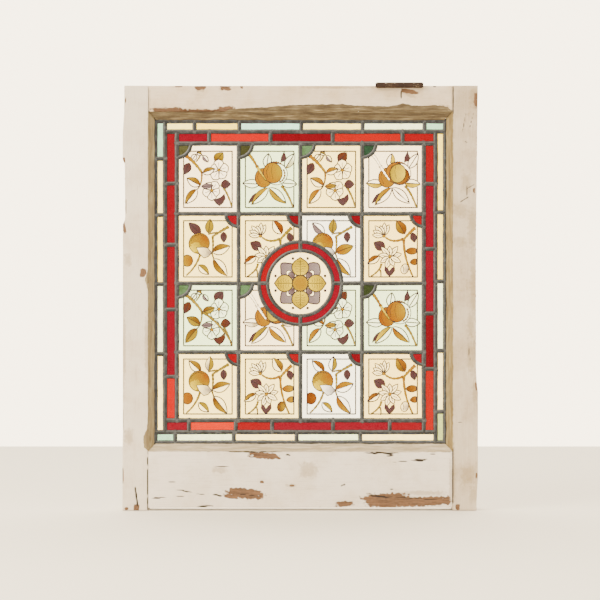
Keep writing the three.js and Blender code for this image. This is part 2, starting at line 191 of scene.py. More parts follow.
class Material(Nodes):
    """One node material round a Principled shader."""

    def __init__(self, name: str) -> None:
        """Makes the material.

        Args:
            name: Name of the finish.
        """
        self.data = bpy.data.materials.new(name)
        self.data.use_nodes = True
        super().__init__(self.data.node_tree)
        self.shader = next(n for n in self.tree.nodes if n.type == "BSDF_PRINCIPLED")

    def set(self, **inputs: object) -> None:
        """Sets or links inputs of the shader."""
        for key, value in inputs.items():
            self.join(self.shader.inputs[key.replace("_", " ")], value)

    def place(self) -> Input:
        """Gives the place on the object, in metres."""
        return self.node("TexCoord").outputs["Object"]

    def noise(self, x: float, y: float, z: float, detail: float = 4, rough: float = 0.6) -> Input:
        """Adds fractal noise whose cells have a real size.

        Args:
            x: Size of a cell along X in millimetres.
            y: Size of a cell along Y in millimetres.
            z: Size of a cell along Z in millimetres.
            detail: Octaves.
            rough: Strength of the fine octaves.

        Returns:
            The noise, from 0 to 1.
        """
        cells = (1 / (x * MM), 1 / (y * MM), 1 / (z * MM))
        where = self.node("Mapping", Vector=self.place(), Scale=cells).outputs[0]
        return self.node("TexNoise", Vector=where, Scale=1.0, Detail=detail, Roughness=rough).outputs[0]

    def attribute(self, name: str) -> Input:
        """Reads a number that the mesh carries."""
        return self.node("Attribute", {"attribute_name": name}).outputs["Fac"]

    def bump(self, height: Input, depth: float, strength: float = 1.0) -> None:
        """Roughens the surface."""
        made = self.node("Bump", Height=height, Distance=depth * MM, Strength=strength)
        self.set(Normal=made.outputs[0])


@dataclass(frozen=True)
class OldPaint:
    """Old off-white oil paint on softwood: matt, yellowed, brushed along the grain and flaked off in places.

    Args:
        name: Name of the finish.
        base: Colour of the clean paint.
        warm: Colour where it has yellowed.
        stain: Share of tan staining.
        upright: True where the grain runs along Z.
    """

    name: str
    base: str
    warm: str
    stain: float
    upright: bool

    def build(self) -> bpy.types.Material:
        """Builds the finish.

        Returns:
            The material.
        """
        m = Material(self.name)
        brush = m.noise(1.6, 1.6, 38, detail=5) if self.upright else m.noise(38, 1.6, 1.6, detail=5)
        cloud = m.noise(46, 46, 46, detail=5)
        fine = m.noise(5, 5, 5, detail=6, rough=0.7)
        paint = m.mix(m.steps(cloud, 0.38, 0.68), linear(self.base), linear(self.warm))
        paint = m.mix(m.steps(brush, 0.52, 0.78, 0, 0.3), paint, linear("#fff8ee"))
        paint = m.mix(m.steps(brush, 0.46, 0.26, 0, 0.3), paint, linear("#a89a88"))
        darkening = m.maths("MULTIPLY", m.steps(fine, 0.5, 0.78), m.steps(cloud, 0.35, 0.75, 0.1, self.stain))
        paint = m.mix(darkening, paint, linear("#9c8058"))
        # This attribute holds real stains on the timber; on the putty the same attribute holds painted shade.
        grime = m.maths("ADD", m.attribute("grime"), m.maths("MULTIPLY", m.maths("SUBTRACT", fine, 0.5), 0.9))
        paint = m.mix(m.steps(grime, 0.35, 0.95, 0, 0.45), paint, linear("#98825d"))
        grain = m.noise(1.1, 1.1, 30, 6, 0.7) if self.upright else m.noise(30, 1.1, 1.1, 6, 0.7)
        wood = m.mix(m.steps(grain, 0.36, 0.62), linear("#4a3527"), linear("#7f5c40"))
        wood = m.mix(m.steps(fine, 0.42, 0.7, 0, 0.6), wood, linear("#7d5f46"))
        ragged = m.maths("MULTIPLY", m.maths("SUBTRACT", fine, 0.5), 0.55)
        ragged = m.maths("ADD", ragged, m.maths("MULTIPLY", m.maths("SUBTRACT", brush, 0.5), 0.45))
        edge = m.maths("ADD", m.attribute("wear"), ragged)
        bare = m.steps(edge, 0.47, 0.53)
        rim = m.maths("MULTIPLY", m.steps(edge, 0.36, 0.47), m.steps(edge, 0.5, 0.46))
        colour = m.mix(m.maths("MULTIPLY", rim, 0.6), paint, linear("#7d6a54"))
        colour = m.mix(bare, colour, wood)
        # Near-black cracks and joints, and under the putty's lower edge a painted shadow line.
        colour = m.mix(m.steps(m.attribute("crack_and_shadow"), 0.3, 0.75), colour, linear("#1f1611"))
        height = m.maths("SUBTRACT", m.maths("MULTIPLY", brush, 0.6), m.maths("MULTIPLY", bare, 0.7))
        height = m.maths("ADD", height, m.maths("MULTIPLY", fine, 0.25))
        m.set(Base_Color=colour, Roughness=0.62)
        m.bump(height, 0.5, 0.9)
        return m.data


@dataclass(frozen=True)
class Putty:
    """Hard linseed putty: chalky and tan, with painted shade in its groove and where it meets the came, and
    paler where it is worn.

    Args:
        name: Name of the finish.
        body: Main colour.
        dark: Colour of the dirt.
        pale: Colour of the worn places.
        upright: True where the run stands.
    """

    name: str
    body: str
    dark: str
    pale: str
    upright: bool = True

    def build(self) -> bpy.types.Material:
        """Builds the finish.

        Returns:
            The material.
        """
        m = Material(self.name)
        streak = m.noise(3.2, 5, 34, 6, 0.65) if self.upright else m.noise(34, 5, 3.2, 6, 0.65)
        fine = m.noise(2.4, 2.4, 2.4, detail=5, rough=0.7)
        colour = m.mix(m.steps(streak, 0.36, 0.64), linear(self.dark), linear(self.body))
        colour = m.mix(m.steps(streak, 0.56, 0.72, 0, 0.8), colour, linear(self.pale))
        colour = m.mix(m.steps(fine, 0.55, 0.8, 0, 0.5), colour, linear(self.pale))
        # Painted shade in the putty's groove and along its edges against the came and the timber.
        colour = m.mix(m.steps(m.attribute("grime"), 0.1, 0.9, 0, 0.9), colour, linear("#3a2c20"))
        colour = m.mix(m.steps(m.attribute("pale"), 0.2, 1.0, 0, 0.8), colour, linear(self.pale))
        m.set(Base_Color=colour, Roughness=0.88)
        m.bump(m.maths("ADD", fine, streak), 0.8, 0.9)
        return m.data


@dataclass(frozen=True)
class Lead:
    """Weathered cast lead: a dull blue-grey skin, near black along its edges with cement and painted shade,
    brighter where solder ran and with a painted highlight down the side of each came that faces the upper
    left.

    Args:
        name: Name of the finish.
    """

    name: str = "weathered_lead"

    def build(self) -> bpy.types.Material:
        """Builds the finish.

        Returns:
            The material.
        """
        m = Material(self.name)
        patch = m.noise(9, 9, 9, detail=6, rough=0.7)
        fine = m.noise(1.8, 1.8, 1.8, detail=5, rough=0.7)
        colour = m.mix(m.steps(patch, 0.34, 0.68), linear("#26292c"), linear("#40444a"))
        colour = m.mix(m.steps(patch, 0.56, 0.78, 0, 0.4), colour, linear("#828a95"))
        # Near black along the flanges' edges and round each blob's foot: cement and painted shade where the
        # lead meets the glass.
        colour = m.mix(m.steps(m.attribute("edge"), 0.3, 0.95, 0, 0.8), colour, linear("#17181a"))
        # Brighter on the solder blobs, and a painted highlight down the side of each came that faces the
        # upper left.
        bright = m.maths("MULTIPLY", m.attribute("solder"), m.steps(fine, 0.3, 0.7, 0.35, 0.8))
        colour = m.mix(bright, colour, linear("#a3a9b0"))
        m.set(Base_Color=colour, Metallic=0.35, Roughness=m.steps(patch, 0.3, 0.7, 0.62, 0.42))
        m.bump(m.maths("ADD", patch, fine), 0.5, 0.7)
        return m.data


@dataclass(frozen=True)
class RustyIron:
    """Rusted wrought iron: rough, red-brown, with scraps of the old paint.

    Args:
        name: Name of the finish.
        painted: Spans along X in millimetres that still carry paint.
    """

    name: str
    painted: tuple[Point, ...] = ()

    def build(self) -> bpy.types.Material:
        """Builds the finish.

        Returns:
            The material.
        """
        m = Material(self.name)
        patch = m.noise(7, 7, 7, detail=6, rough=0.7)
        fine = m.noise(1.5, 1.5, 1.5, detail=5, rough=0.75)
        colour = m.mix(m.steps(patch, 0.34, 0.66), linear("#24150f"), linear("#36231a"))
        colour = m.mix(m.steps(fine, 0.54, 0.8, 0, 0.7), colour, linear("#5c4030"))
        if self.painted:
            x = m.node("SeparateXYZ", i0=m.place()).outputs[0]
            mask: Input = 0.0
            for low, high in self.painted:
                rise = m.steps(x, (low - 1.2) * MM, (low + 1.2) * MM)
                fall = m.steps(x, (high + 1.2) * MM, (high - 1.2) * MM)
                mask = m.maths("MAXIMUM", mask, m.maths("MULTIPLY", rise, fall))
            ragged = m.maths("ADD", m.maths("MULTIPLY", mask, 0.5), m.maths("MULTIPLY", fine, 0.7))
            colour = m.mix(m.steps(ragged, 0.9, 0.96), colour, linear("#cdb996"))
        m.set(Base_Color=colour, Metallic=0.15, Roughness=0.85)
        m.bump(m.maths("ADD", patch, fine), 0.6, 0.9)
        return m.data


@dataclass(frozen=True)
class Glass:
    """Old sheet glass, clear and streaky, whose tint, enamel and silver stain the mesh carries.

    Args:
        name: Name of the finish.
        streak: Size along X and along Z of the streaks, in millimetres.
        deep: Colour of the streaks.
        share: How strong the streaks are.
    """

    name: str
    streak: Point
    deep: str
    share: float

    def build(self) -> bpy.types.Material:
        """Builds the finish.

        Returns:
            The material.
        """
        m = Material(self.name)
        streak = m.noise(self.streak[0], 40, self.streak[1], detail=4, rough=0.55)
        tint = m.node("Attribute", {"attribute_name": "tint"}).outputs["Color"]
        colour = m.mix(m.steps(streak, 0.42, 0.72, 0, self.share), tint, linear(self.deep), "MULTIPLY")
        m.set(Base_Color=colour, Roughness=0.12, IOR=1.5, Transmission_Weight=0.9, Specular_IOR_Level=0.1)
        m.bump(streak, 0.25, 0.2)
        return m.data


# Meshes


@dataclass
class Builder:
    """Collects the vertices, faces and attributes of one piece.

    Args:
        name: Name of the piece.
        body: Body it rides on.
    """

    name: str
    body: str = "sash"
    verts: list[Vector] = field(default_factory=list)
    faces: list[tuple[int, ...]] = field(default_factory=list)
    values: dict[str, list] = field(default_factory=dict)

    def add(self, x: float, y: float, z: float, **values: object) -> int:
        """Adds a vertex, in millimetres.

        Args:
            x: Place along X.
            y: Place along Y.
            z: Place along Z.
            values: Attribute values by name.

        Returns:
            The vertex's number.
        """
        for key, value in values.items():
            self.values.setdefault(key, []).append(value)
        self.verts.append(Vector(mm(x, y, z)))
        return len(self.verts) - 1

    def loft(self, rings: list[list[int]], closed: bool = True) -> None:
        """Joins rows of vertices with faces.

        Args:
            rings: Rows with the same number of vertices.
            closed: True to cap both ends.
        """
        count = len(rings[0])
        for a, b in zip(rings, rings[1:]):
            for i in range(count):
                j = (i + 1) % count
                self.faces.append((a[i], a[j], b[j], b[i]))
        if closed:
            self.faces.append(tuple(reversed(rings[0])))
            self.faces.append(tuple(rings[-1]))

    def finish(self, material: bpy.types.Material, slot: str, smooth: bool = True) -> bpy.types.Object:
        """Makes the object.

        Args:
            material: Finish of the piece.
            slot: Material slot of the record; not used.
            smooth: True for smooth shading.

        Returns:
            The object.
        """
        mesh = bpy.data.meshes.new(self.name)
        mesh.from_pydata(self.verts, [], self.faces)
        for key, column in self.values.items():
            colour = isinstance(column[0], tuple)
            made = mesh.attributes.new(key, "FLOAT_COLOR" if colour else "FLOAT", "POINT")
            flat = [part for value in column for part in value] if colour else column
            made.data.foreach_set("color" if colour else "value", flat)
        mesh.materials.append(material)
        if smooth:
            mesh.shade_smooth()
        made_object = bpy.data.objects.new(self.name, mesh)
        bpy.context.scene.collection.objects.link(made_object)
        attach(made_object, self.body)
        log.info("%s: %d vertices, %d faces", self.name, len(mesh.vertices), len(mesh.polygons))
        return made_object


@dataclass(frozen=True)
class Layout:
    """Sizes of the window in millimetres, as in the solids."""

    half_width: float = 292.0
    opening_half: float = 249.5
    opening_top: float = -43.0
    opening_bottom: float = -599.3
    rail_bottom: float = -692.3
    stile_bottom: float = -696.7
    front: float = -22.0
    back: float = 22.0
    rebate_floor: float = -4.0
    panel: float = -7.4
    grid_half: float = 203.2
    edge_x: float = 238.7
    red_x: float = 222.7
    edge_top: float = -57.0
    red_top: float = -74.5
    grid_top: float = -94.0
    rows: tuple[float, ...] = (115.8, 114.3, 113.3, 112.2)
    roundel: float = 53.57
    ring: float = 68.07
    green_radius: float = 23.0
    red_radius: float = 21.0
    glass_half: float = 1.5
    inset: float = 1.2
    red_border: float = 19.5
    pale_border_end: float = 17.5
    half_edge_came: float = 3.8
    seam: float = 0.35
    slack: float = 0.2

    @property
    def columns(self) -> list[float]:
        """Centre lines of the upright quarry cames."""
        return [-self.grid_half + i * self.grid_half / 2 for i in range(5)]

    @property
    def levels(self) -> list[float]:
        """Centre lines of the level quarry cames."""
        out = [self.grid_top]
        for row in self.rows:
            out.append(out[-1] - row)
        return out

    @property
    def grid_bottom(self) -> float:
        """Lowest quarry came."""
        return self.levels[-1]

    @property
    def red_bottom(self) -> float:
        """Lower edge of the red border."""
        return self.grid_bottom - self.red_border

    @property
    def edge_bottom(self) -> float:
        """Lowest edge came."""
        return self.red_bottom - self.pale_border_end

    @property
    def centre(self) -> Point:
        """Middle of the roundel."""
        return (0.0, self.levels[2])


LAY = Layout()


def rebate_corners() -> tuple[Point, Point, Point, Point]:
    """Gives the corners of the sash's opening, clockwise from the lower left."""
    half, top, bottom = LAY.opening_half, LAY.opening_top, LAY.opening_bottom
    return (-half, bottom), (-half, top), (half, top), (half, bottom)


def measure() -> None:
    """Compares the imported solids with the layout, and warns where they differ."""
    low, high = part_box("right_stile")
    rail_low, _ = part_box("bottom_rail")
    found = (high[0] / MM, high[1] / MM, low[2] / MM, rail_low[2] / MM)
    expected = (LAY.half_width, LAY.back, LAY.stile_bottom, LAY.rail_bottom)
    for got, wanted in zip(found, expected):
        if abs(got - wanted) > LAY.slack:
            log.warning("the solids measure %.2f where %.2f was expected", got, wanted)


# Timber


class Mark(Enum):
    """What a patch of damage, or a painted shadow line, leaves on the timber."""

    WEAR = "wear"
    CRACK_AND_SHADOW = "crack_and_shadow"
    GRIME = "grime"


@dataclass(frozen=True)
class Patch:
    """A flake, crack, painted shadow line or stain on the front of a timber, in millimetres.

    Args:
        x: Middle along X.
        z: Middle along Z.
        half_x: Half its length along X.
        half_z: Half its length along Z.
        depth: Depth of the hollow.
        mark: What it leaves.
        turn: Turn in degrees.
    """

    x: float
    z: float
    half_x: float
    half_z: float
    depth: float = 0.5
    mark: Mark = Mark.WEAR
    turn: float = 0.0

    def share(self, x: float, z: float) -> float:
        """Tells how far inside the patch a place lies.

        Args:
            x: Place along X.
            z: Place along Z.

        Returns:
            1 in the middle, 0.5 near the rim and 0 well outside.
        """
        dx, dz = x - self.x, z - self.z
        reach = 2 * (self.half_x + self.half_z) + 4
        if abs(dx) > reach or abs(dz) > reach:
            return 0.0
        c, s = math.cos(math.radians(self.turn)), math.sin(math.radians(self.turn))
        u, v = (dx * c + dz * s) / self.half_x, (dz * c - dx * s) / self.half_z
        if self.mark is Mark.CRACK_AND_SHADOW:
            v += 0.9 * wobble(x, 3, z, 7)
        else:
            u += 0.4 * wobble(x, 0, z, 5)
            v += 0.4 * wobble(z, 9, x, 4)
        return max(0.0, 1.0 - 0.5 * (u**4 + v**4) ** 0.5)


def flake(x: float, z: float, half_x: float, half_z: float, depth: float = 0.5, turn: float = 0.0) -> Patch:
    """Places a flake that shows bare wood."""
    return Patch(x, z, half_x, half_z, depth, Mark.WEAR, turn)


def crack_and_shadow(x: float, z: float, half_x: float, half_z: float, depth: float = 0.8, turn: float = 0.0) -> Patch:
    """Places an open crack; the same dark line draws a painted shadow under the putty's edge."""
    return Patch(x, z, half_x, half_z, depth, Mark.CRACK_AND_SHADOW, turn)


def stain(x: float, z: float, half_x: float, half_z: float, turn: float = 0.0) -> Patch:
    """Places a stain that has no depth."""
    return Patch(x, z, half_x, half_z, 0.0, Mark.GRIME, turn)


LEFT_PATCHES = (
    flake(-258, -307, 5.0, 7.5, 0.5),
    flake(-288, -198, 2.0, 12, 0.8),
    flake(-290, -232, 3.0, 10, 0.8, 20),
    flake(-290, -122, 2.6, 4.0, 1.2),
    flake(-288, -24, 2.2, 4.0, 0.3),
    crack_and_shadow(-268.5, -676, 1.5, 17, 1.6, 8),
    flake(-269, -692, 4.4, 5.5, 1.0),
    crack_and_shadow(-290, -557, 0.8, 22, 0.6),
    crack_and_shadow(-250.1, -649, 1.1, 50, 1.3),
    flake(-291, -640, 1.4, 12, 0.6),
    flake(-285, -694, 3.0, 2.5, 0.6),
    stain(-252, -420, 4.0, 60),
    stain(-283, -285, 7, 12),
    stain(-281, -575, 8, 14),
    stain(-289, -430, 3, 70),
)
RIGHT_PATCHES = (
    flake(289, -24, 4.0, 11, 0.9),
    stain(286, -20, 9, 18),
    crack_and_shadow(250.6, -24, 0.8, 22, 0.5),
    crack_and_shadow(250.1, -649, 0.95, 50, 1.1),
    stain(252.0, -640, 2.6, 52),
    crack_and_shadow(268, -66, 0.7, 14, 0.7, -10),
    crack_and_shadow(271.5, -92, 1.0, 4, 0.7, 50),
    crack_and_shadow(280, -60, 0.5, 16, 0.4, -14),
    crack_and_shadow(267, -188, 0.9, 9, 0.8, -58),
    crack_and_shadow(273.5, -176, 0.8, 9, 0.8),
    crack_and_shadow(280, -165, 0.7, 7, 0.6, -62),
    flake(286, -172, 2.2, 5, 0.4),
    stain(272, -160, 9, 18),
    stain(262, -205, 14, 12),
    stain(283, -235, 9, 34),
    stain(262, -256, 12, 10),
    stain(285, -330, 7, 60),
    stain(279, -392, 6, 22),
    crack_and_shadow(277, -438, 0.8, 18, 0.7, 5),
    crack_and_shadow(286, -430, 0.7, 15, 0.7, 2),
    stain(281, -446, 9, 26),
    flake(290, -493, 2.6, 7, 0.9),
    stain(287, -500, 6, 20),
    stain(276, -640, 14, 16),
    stain(284, -672, 8, 14),
    crack_and_shadow(276, -650, 0.6, 4, 0.4, 10),
    flake(258, -691, 3.4, 5, 0.9),
    flake(289, -640, 1.6, 5, 0.5),
    crack_and_shadow(262, -552, 3.5, 0.6, 0.3),
)
TOP_PATCHES = (
    flake(-214, -44, 30, 7.5, 2.2),
    flake(-165, -45, 27, 6.0, 1.8),
    flake(-126, -42, 18, 7.0, 1.4, 10),
    crack_and_shadow(-132, -46.5, 18, 0.9, 1.4),
    flake(-164, -2.5, 8.5, 4.4, 1.2),
    flake(-123, -2.5, 8.5, 5.0, 1.2),
    flake(-199, -0.6, 6, 2.0, 0.6),
    flake(-96, -3, 2.4, 2.0, 0.3),
    stain(-164, -7, 7, 4),
    flake(178, -9.5, 13, 3.6, 0.5, -8),
    crack_and_shadow(165.5, -14, 1.4, 5, 1.2),
    stain(180, -16, 12, 3, -14),
    crack_and_shadow(220, -2, 3, 1.6, 0.6),
    flake(222, -40, 18, 6.5, 1.6),
    crack_and_shadow(206, -47, 4, 3, 1.4),
    flake(243, -45, 7, 5.5, 1.4),
    stain(236, -40, 13, 9),
    stain(60, -3, 60, 2.6),
    stain(-247.4, -20, 2.0, 22),
    crack_and_shadow(-249, -20, 0.6, 22, 0.5),
)
BOTTOM_PATCHES = (
    flake(-91, -669, 29, 8.0, 0.7, -6),
    crack_and_shadow(-88, -671, 26, 0.6, 0.6, -7),
    flake(-114, -674, 12, 3.0, 0.6, -8),
    flake(-59, -607, 24, 5.0, 0.9, -3),
    crack_and_shadow(-68, -600.5, 34, 1.2, 1.0),
    stain(-133, -630, 14, 6),
    crack_and_shadow(-128, -624.5, 11, 0.5, 0.2),
    crack_and_shadow(-137, -635.5, 12, 0.5, 0.2),
    stain(-15, -656, 10, 3.2),
    flake(-14, -656, 4.5, 1.8, 0.3),
    flake(-63, -650, 3.4, 2.2, 0.3),
    flake(142, -680, 38, 11, 0.9, 1),
    flake(205, -682, 42, 7.5, 0.8, 3),
    crack_and_shadow(130, -674, 18, 1.3, 1.0, -6),
    crack_and_shadow(190, -677, 45, 0.7, 0.6, -4),
    flake(73, -686, 14, 4.5, 0.7, 3),
    crack_and_shadow(-190, -665, 13, 1.1, 0.9, -8),
    crack_and_shadow(-164, -670, 8, 0.9, 0.7, -6),
    crack_and_shadow(-136, -672, 8, 1.7, 1.2, -10),
    crack_and_shadow(-232, -676, 12, 1.0, 0.9, 4),
    crack_and_shadow(-198, -674, 8, 0.7, 0.6, 3),
    crack_and_shadow(-156, -690, 14, 1.3, 1.0, 3),
    crack_and_shadow(-211, -650, 7, 0.8, 0.8, -5),
    crack_and_shadow(70, -655, 4.5, 1.3, 0.7, 16),
    crack_and_shadow(150, -662, 3.0, 1.5, 0.7),
    crack_and_shadow(197, -614, 11, 2.0, 1.3, 4),
    crack_and_shadow(170, -616, 18, 0.7, 0.7, 6),
    crack_and_shadow(147, -607, 6, 1.3, 0.9, 5),
    # A painted shadow line under the putty's lower edge.
    crack_and_shadow(133, -602.6, 27, 1.7, 1.0),
    crack_and_shadow(217, -604, 5, 0.8, 0.6),
    crack_and_shadow(240, -600, 8, 1.2, 0.8),
    crack_and_shadow(-20, -606, 4, 1.4, 0.7),
    crack_and_shadow(-100, -601, 20, 0.9, 0.7, -3),
    stain(14, -630, 16, 14),
    stain(247, -650, 3.4, 46),
    stain(205, -668, 40, 4),
)


@dataclass
class Timber:
    """One member of the sash, as a fine skin with worn arrises, flakes and cracks.

    Args:
        node: CAD node that it replaces.
        start: Rebate corner where the member starts, in the plane of the front.
        end: Rebate corner where it ends.
        face: Width of its front face.
        overrun: How far the face runs on past each corner.
        patches: Damage on its front.
        finish: Its paint.
        split: Loss along its outer edge, as distances along the member and depths of loss.
        step: Spacing of the skin.
        arris: Width of the strip beside the outer edge that wears away.
    """

    node: str
    start: Point
    end: Point
    face: float
    overrun: Point
    patches: tuple[Patch, ...]
    finish: OldPaint
    split: tuple[Point, ...] = ((0.0, 0.0),)
    step: float = 1.7
    arris: float = 6.0

    def section(self) -> list[Point]:
        """Draws the section as distance outward from the rebate wall, and depth.

        Returns:
            The outline, running from the outer front arris round the member.
        """
        lip, quirk, radius = 13.0, 2.0, 9.0
        arc_x, arc_y = -(lip - quirk - radius), LAY.back - quirk - radius
        corners = [(self.face, LAY.front), (0.0, LAY.front), (0.0, LAY.rebate_floor)]
        corners += [(-lip, LAY.rebate_floor), (-lip, arc_y)]
        for i in range(7):
            turn = i / 6 * math.pi / 2
            corners.append((arc_x - radius * math.cos(turn), arc_y + radius * math.sin(turn)))
        corners += [(arc_x, LAY.back), (self.face, LAY.back)]
        out: list[Point] = []
        spacing = [self.step, 4.5, 6.5] + [4.5] * 7 + [2.0, 12.0, 9.0, 9.0]
        for i, (a, b) in enumerate(zip(corners, corners[1:] + corners[:1])):
            count = max(1, round(math.dist(a, b) / spacing[min(i, len(spacing) - 1)]))
            points = [between(a, b, k / count) for k in range(count)]
            if i == 0:
                near = self.step * 0.3
                ends = [(a[0] - near, a[1]), (a[0] - near * 2.6, a[1])]
                points = [points[0], *ends, *points[2:-1], (b[0] + near * 2.6, b[1]), (b[0] + near, b[1])]
            out += points
        return out

    def front_wear(self, u: float, x: float, z: float, along: float) -> dict[Mark | None, float]:
        """Works out the damage at a place on the front face.

        Args:
            u: Distance outward from the rebate wall.
            x: Place along X.
            z: Place along Z.
            along: Place along the member.

        Returns:
            The strength of each mark, and the depth under None.
        """
        found: dict[Mark | None, float] = {None: 0.12 * wobble(x, 1, z, 30) + 0.07 * wobble(x, 2, z, 8)}
        for patch in self.patches:
            share = patch.share(x, z)
            if share > 0.15:
                found[None] += patch.depth * min(1.0, max(0.0, (share - 0.3) / 0.4))
                found[patch.mark] = max(found.get(patch.mark, 0.0), share)
        rim = min(self.face - u, u)
        if rim < 2.4:
            worn = 0.55 + 0.35 * wobble(along, 5, self.face, 14)
            found[None] += worn * max(0.0, 1 - rim / 1.6) ** 2
            rubbed = 0.2 + 0.26 * max(0, wobble(along, 8, 1, 17)) + 0.1 * wobble(along, 7, 1, 5)
            found[Mark.WEAR] = max(found.get(Mark.WEAR, 0.0), rubbed)
        return found

    def build(self) -> None:
        """Builds the member."""
        made = Builder(self.node.replace("_", "-") + "-timber")
        run = Run(self.start, self.end)
        section = self.section()
        count = round((run.length + sum(self.overrun)) / self.step)
        rings = []
        low, high = -self.overrun[0], run.length + self.overrun[1]
        for k in range(count + 1):
            along = low + (high - low) * k / count
            reach = max(0.0, min(along, run.length - along) - LAY.slack)
            ring = []
            for u, y in section:
                if u < -reach:
                    u, y = -reach, y - 0.02 * (u + reach)
                x, z = run.at(along, -u)
                wear = {mark: 0.0 for mark in Mark}
                out, deep = 0.0, 0.0
                if y < LAY.front + 0.01:
                    found = self.front_wear(u, x, z, along)
                    deep = found.pop(None) + (0.4 if min(along - low, high - along) < 0.4 else 0.0)
                    wear |= found
                if u > self.face - 0.01:
                    loss = ramp(self.split, along)
                    out -= 0.25 + 0.35 * abs(wobble(along, y * 0.3, 3, 22)) + loss
                    out -= 0.3 * loss * wobble(along, y * 0.4, 8, 4)
                    wear[Mark.WEAR] = max(wear[Mark.WEAR], min(0.62, 0.2 * loss))
                elif u > self.face - self.arris:
                    out -= ramp(self.split, along) * (1 - (self.face - u) / self.arris) ** 0.5
                if y > LAY.back - 0.01:
                    deep -= 0.15
                x, z = run.at(along, -u - out)
                ring.append(made.add(x, y + deep, z, **{mark.value: level for mark, level in wear.items()}))
            rings.append(ring)
        made.loft(rings)
        body = made.finish(self.finish.build(), "painted_wood")
        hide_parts(self.node)


@dataclass
class Sash:
    """The four members of the sash."""

    left: OldPaint = OldPaint("oil_paint_left_stile", "#ece3d6", "#dfd3c3", 0.25, True)
    right: OldPaint = OldPaint("oil_paint_right_stile", "#d3c6b3", "#bfae97", 0.8, True)
    top: OldPaint = OldPaint("oil_paint_top_rail", "#e8d9c5", "#d8c3a6", 0.4, False)
    bottom: OldPaint = OldPaint("oil_paint_bottom_rail", "#f6eee6", "#e9e0d2", 0.25, False)
    left_loss: tuple[Point, ...] = (
        (0, 0), (30, 0.4), (340, 0.6), (372, 0.6), (380, 4.4), (470, 3.8), (478, 0.3), (520, 0.3),
        (556, 2.6), (600, 3.0),
    )  # fmt: skip
    right_loss: tuple[Point, ...] = (
        (-30, 0.6), (0, 1.0), (130, 2.6), (240, 3.8), (420, 3.4), (445, 2.2), (460, 0.2), (600, 0.4),
        (640, 2.6),
    )  # fmt: skip

    def build(self) -> None:
        """Builds the members."""
        low_left, high_left, high_right, low_right = rebate_corners()
        stile, above = LAY.half_width - LAY.opening_half, -LAY.opening_top
        below, deep = LAY.opening_bottom - LAY.stile_bottom, LAY.opening_bottom - LAY.rail_bottom
        seams = (-LAY.seam, -LAY.seam)
        left, right = (LEFT_PATCHES, self.left, self.left_loss), (RIGHT_PATCHES, self.right, self.right_loss)
        Timber("left_stile", low_left, high_left, stile, (below, above), *left).build()
        Timber("right_stile", high_right, low_right, stile, (above, below), *right).build()
        Timber("top_rail", high_left, high_right, above, seams, TOP_PATCHES, self.top).build()
        Timber("bottom_rail", low_right, low_left, deep, seams, BOTTOM_PATCHES, self.bottom).build()


# Putty


@dataclass
class PuttyRun:
    """One run of lumpy putty between the rebate and the edge came.

    Args:
        node: CAD node that it replaces.
        start: Rebate corner where it starts.
        end: Rebate corner where it ends.
        bed: Width from the rebate wall to the edge came.
        finish: Its colours.
        cover: How far it laps over the timber's face, as distances along the run and widths.
        lumps: How uneven it is, in millimetres.
        clear: Gap between the putty and the rebate wall.
        over: How far it covers the edge came.
        spacing: Spacing of its sections.
    """

    node: str
    start: Point
    end: Point
    bed: float
    finish: Putty
    cover: tuple[Point, ...]
    lumps: float = 0.8
    clear: float = 0.15
    over: float = 2.4
    spacing: float = 2.0

    def profile(self, along: float) -> list[tuple[float, float, float, float]]:
        """Draws the section at one place.

        Args:
            along: Distance along the run.

        Returns:
            Points as distance inward, depth, painted shade and paleness.
        """
        wall, face, floor = self.clear, LAY.panel - 3.1, LAY.rebate_floor - 0.3
        waver = 0.9 * wobble(along, 0, self.bed, 17) + 0.6 * wobble(along, 4, self.bed, 5)
        edge = self.bed + self.over + self.lumps * waver
        ragged = ramp(self.cover, along) + 1.3 * wobble(along, 9, self.bed, 9)
        lap = max(0.0, ragged + 0.7 * wobble(along, 3, self.bed, 3))
        top = LAY.front + 0.9 + 0.7 * self.lumps * wobble(along, 7, self.bed, 23) - 0.08 * lap
        out = [
            (wall - lap, LAY.front + 0.25, 0.5, 0.0),
            (0.1 - lap * 0.85, LAY.front - 0.4 - 0.04 * lap, 0.2, 0.5),
            (-lap * 0.4, LAY.front - 0.5 - 0.06 * lap, 0.0, 0.6),
        ]
        hollow, last = 0.25 + 0.1 * lap, 9
        for i in range(last + 1):
            share = i / last
            dip = hollow * math.exp(-(((share - 0.3) / 0.16) ** 2))
            crown = -0.5 * math.sin(share * math.pi) + 1.3 * dip
            depth = top + (face - 0.9 - top) * share**0.9 + crown
            # Painted shade in the groove, and at the foot where the putty meets the came.
            darkening = 0.8 * dip / hollow * min(1.0, lap / 6) + 0.3 * (i == last)
            out.append((wall + (edge - wall) * share, depth, darkening, 0.7 * (i in (last - 2, last - 1))))
        out += [(edge, face - 0.1, 1.0, 0.0), (self.bed - 1, face - 0.1, 0.5, 0.0)]
        out += [(self.bed - 0.4, floor, 0.2, 0.0), (wall, floor, 0.2, 0.0)]
        return out + [(wall, LAY.front + 0.8, 0.2, 0.0)]

    def build(self) -> None:
        """Builds the run."""
        made = Builder(self.node.replace("_", "-") + "-run")
        run = Run(self.start, self.end)
        count = round(run.length / self.spacing)
        rings = []
        for k in range(count + 1):
            along = run.length * k / count
            ring = []
            for i, (u, y, grime, pale) in enumerate(self.profile(along)):
                at = min(max(along, u), run.length - u) if u > 0 else along
                x, z = run.at(at, u)
                bump = self.lumps * 0.45 * wobble(x, y, z, 6) if 1 < i < 12 else 0.0
                painted_shade = grime * (0.6 + 0.5 * wobble(along, i, 2, 9))
                worn = pale * (0.5 + 0.8 * wobble(along, i, 5, 21))
                ring.append(made.add(x, y + bump, z, grime=max(0.0, painted_shade), pale=max(0.0, worn)))
            rings.append(ring)
        made.loft(rings)
        body = made.finish(self.finish.build(), "putty")
        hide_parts(self.node)


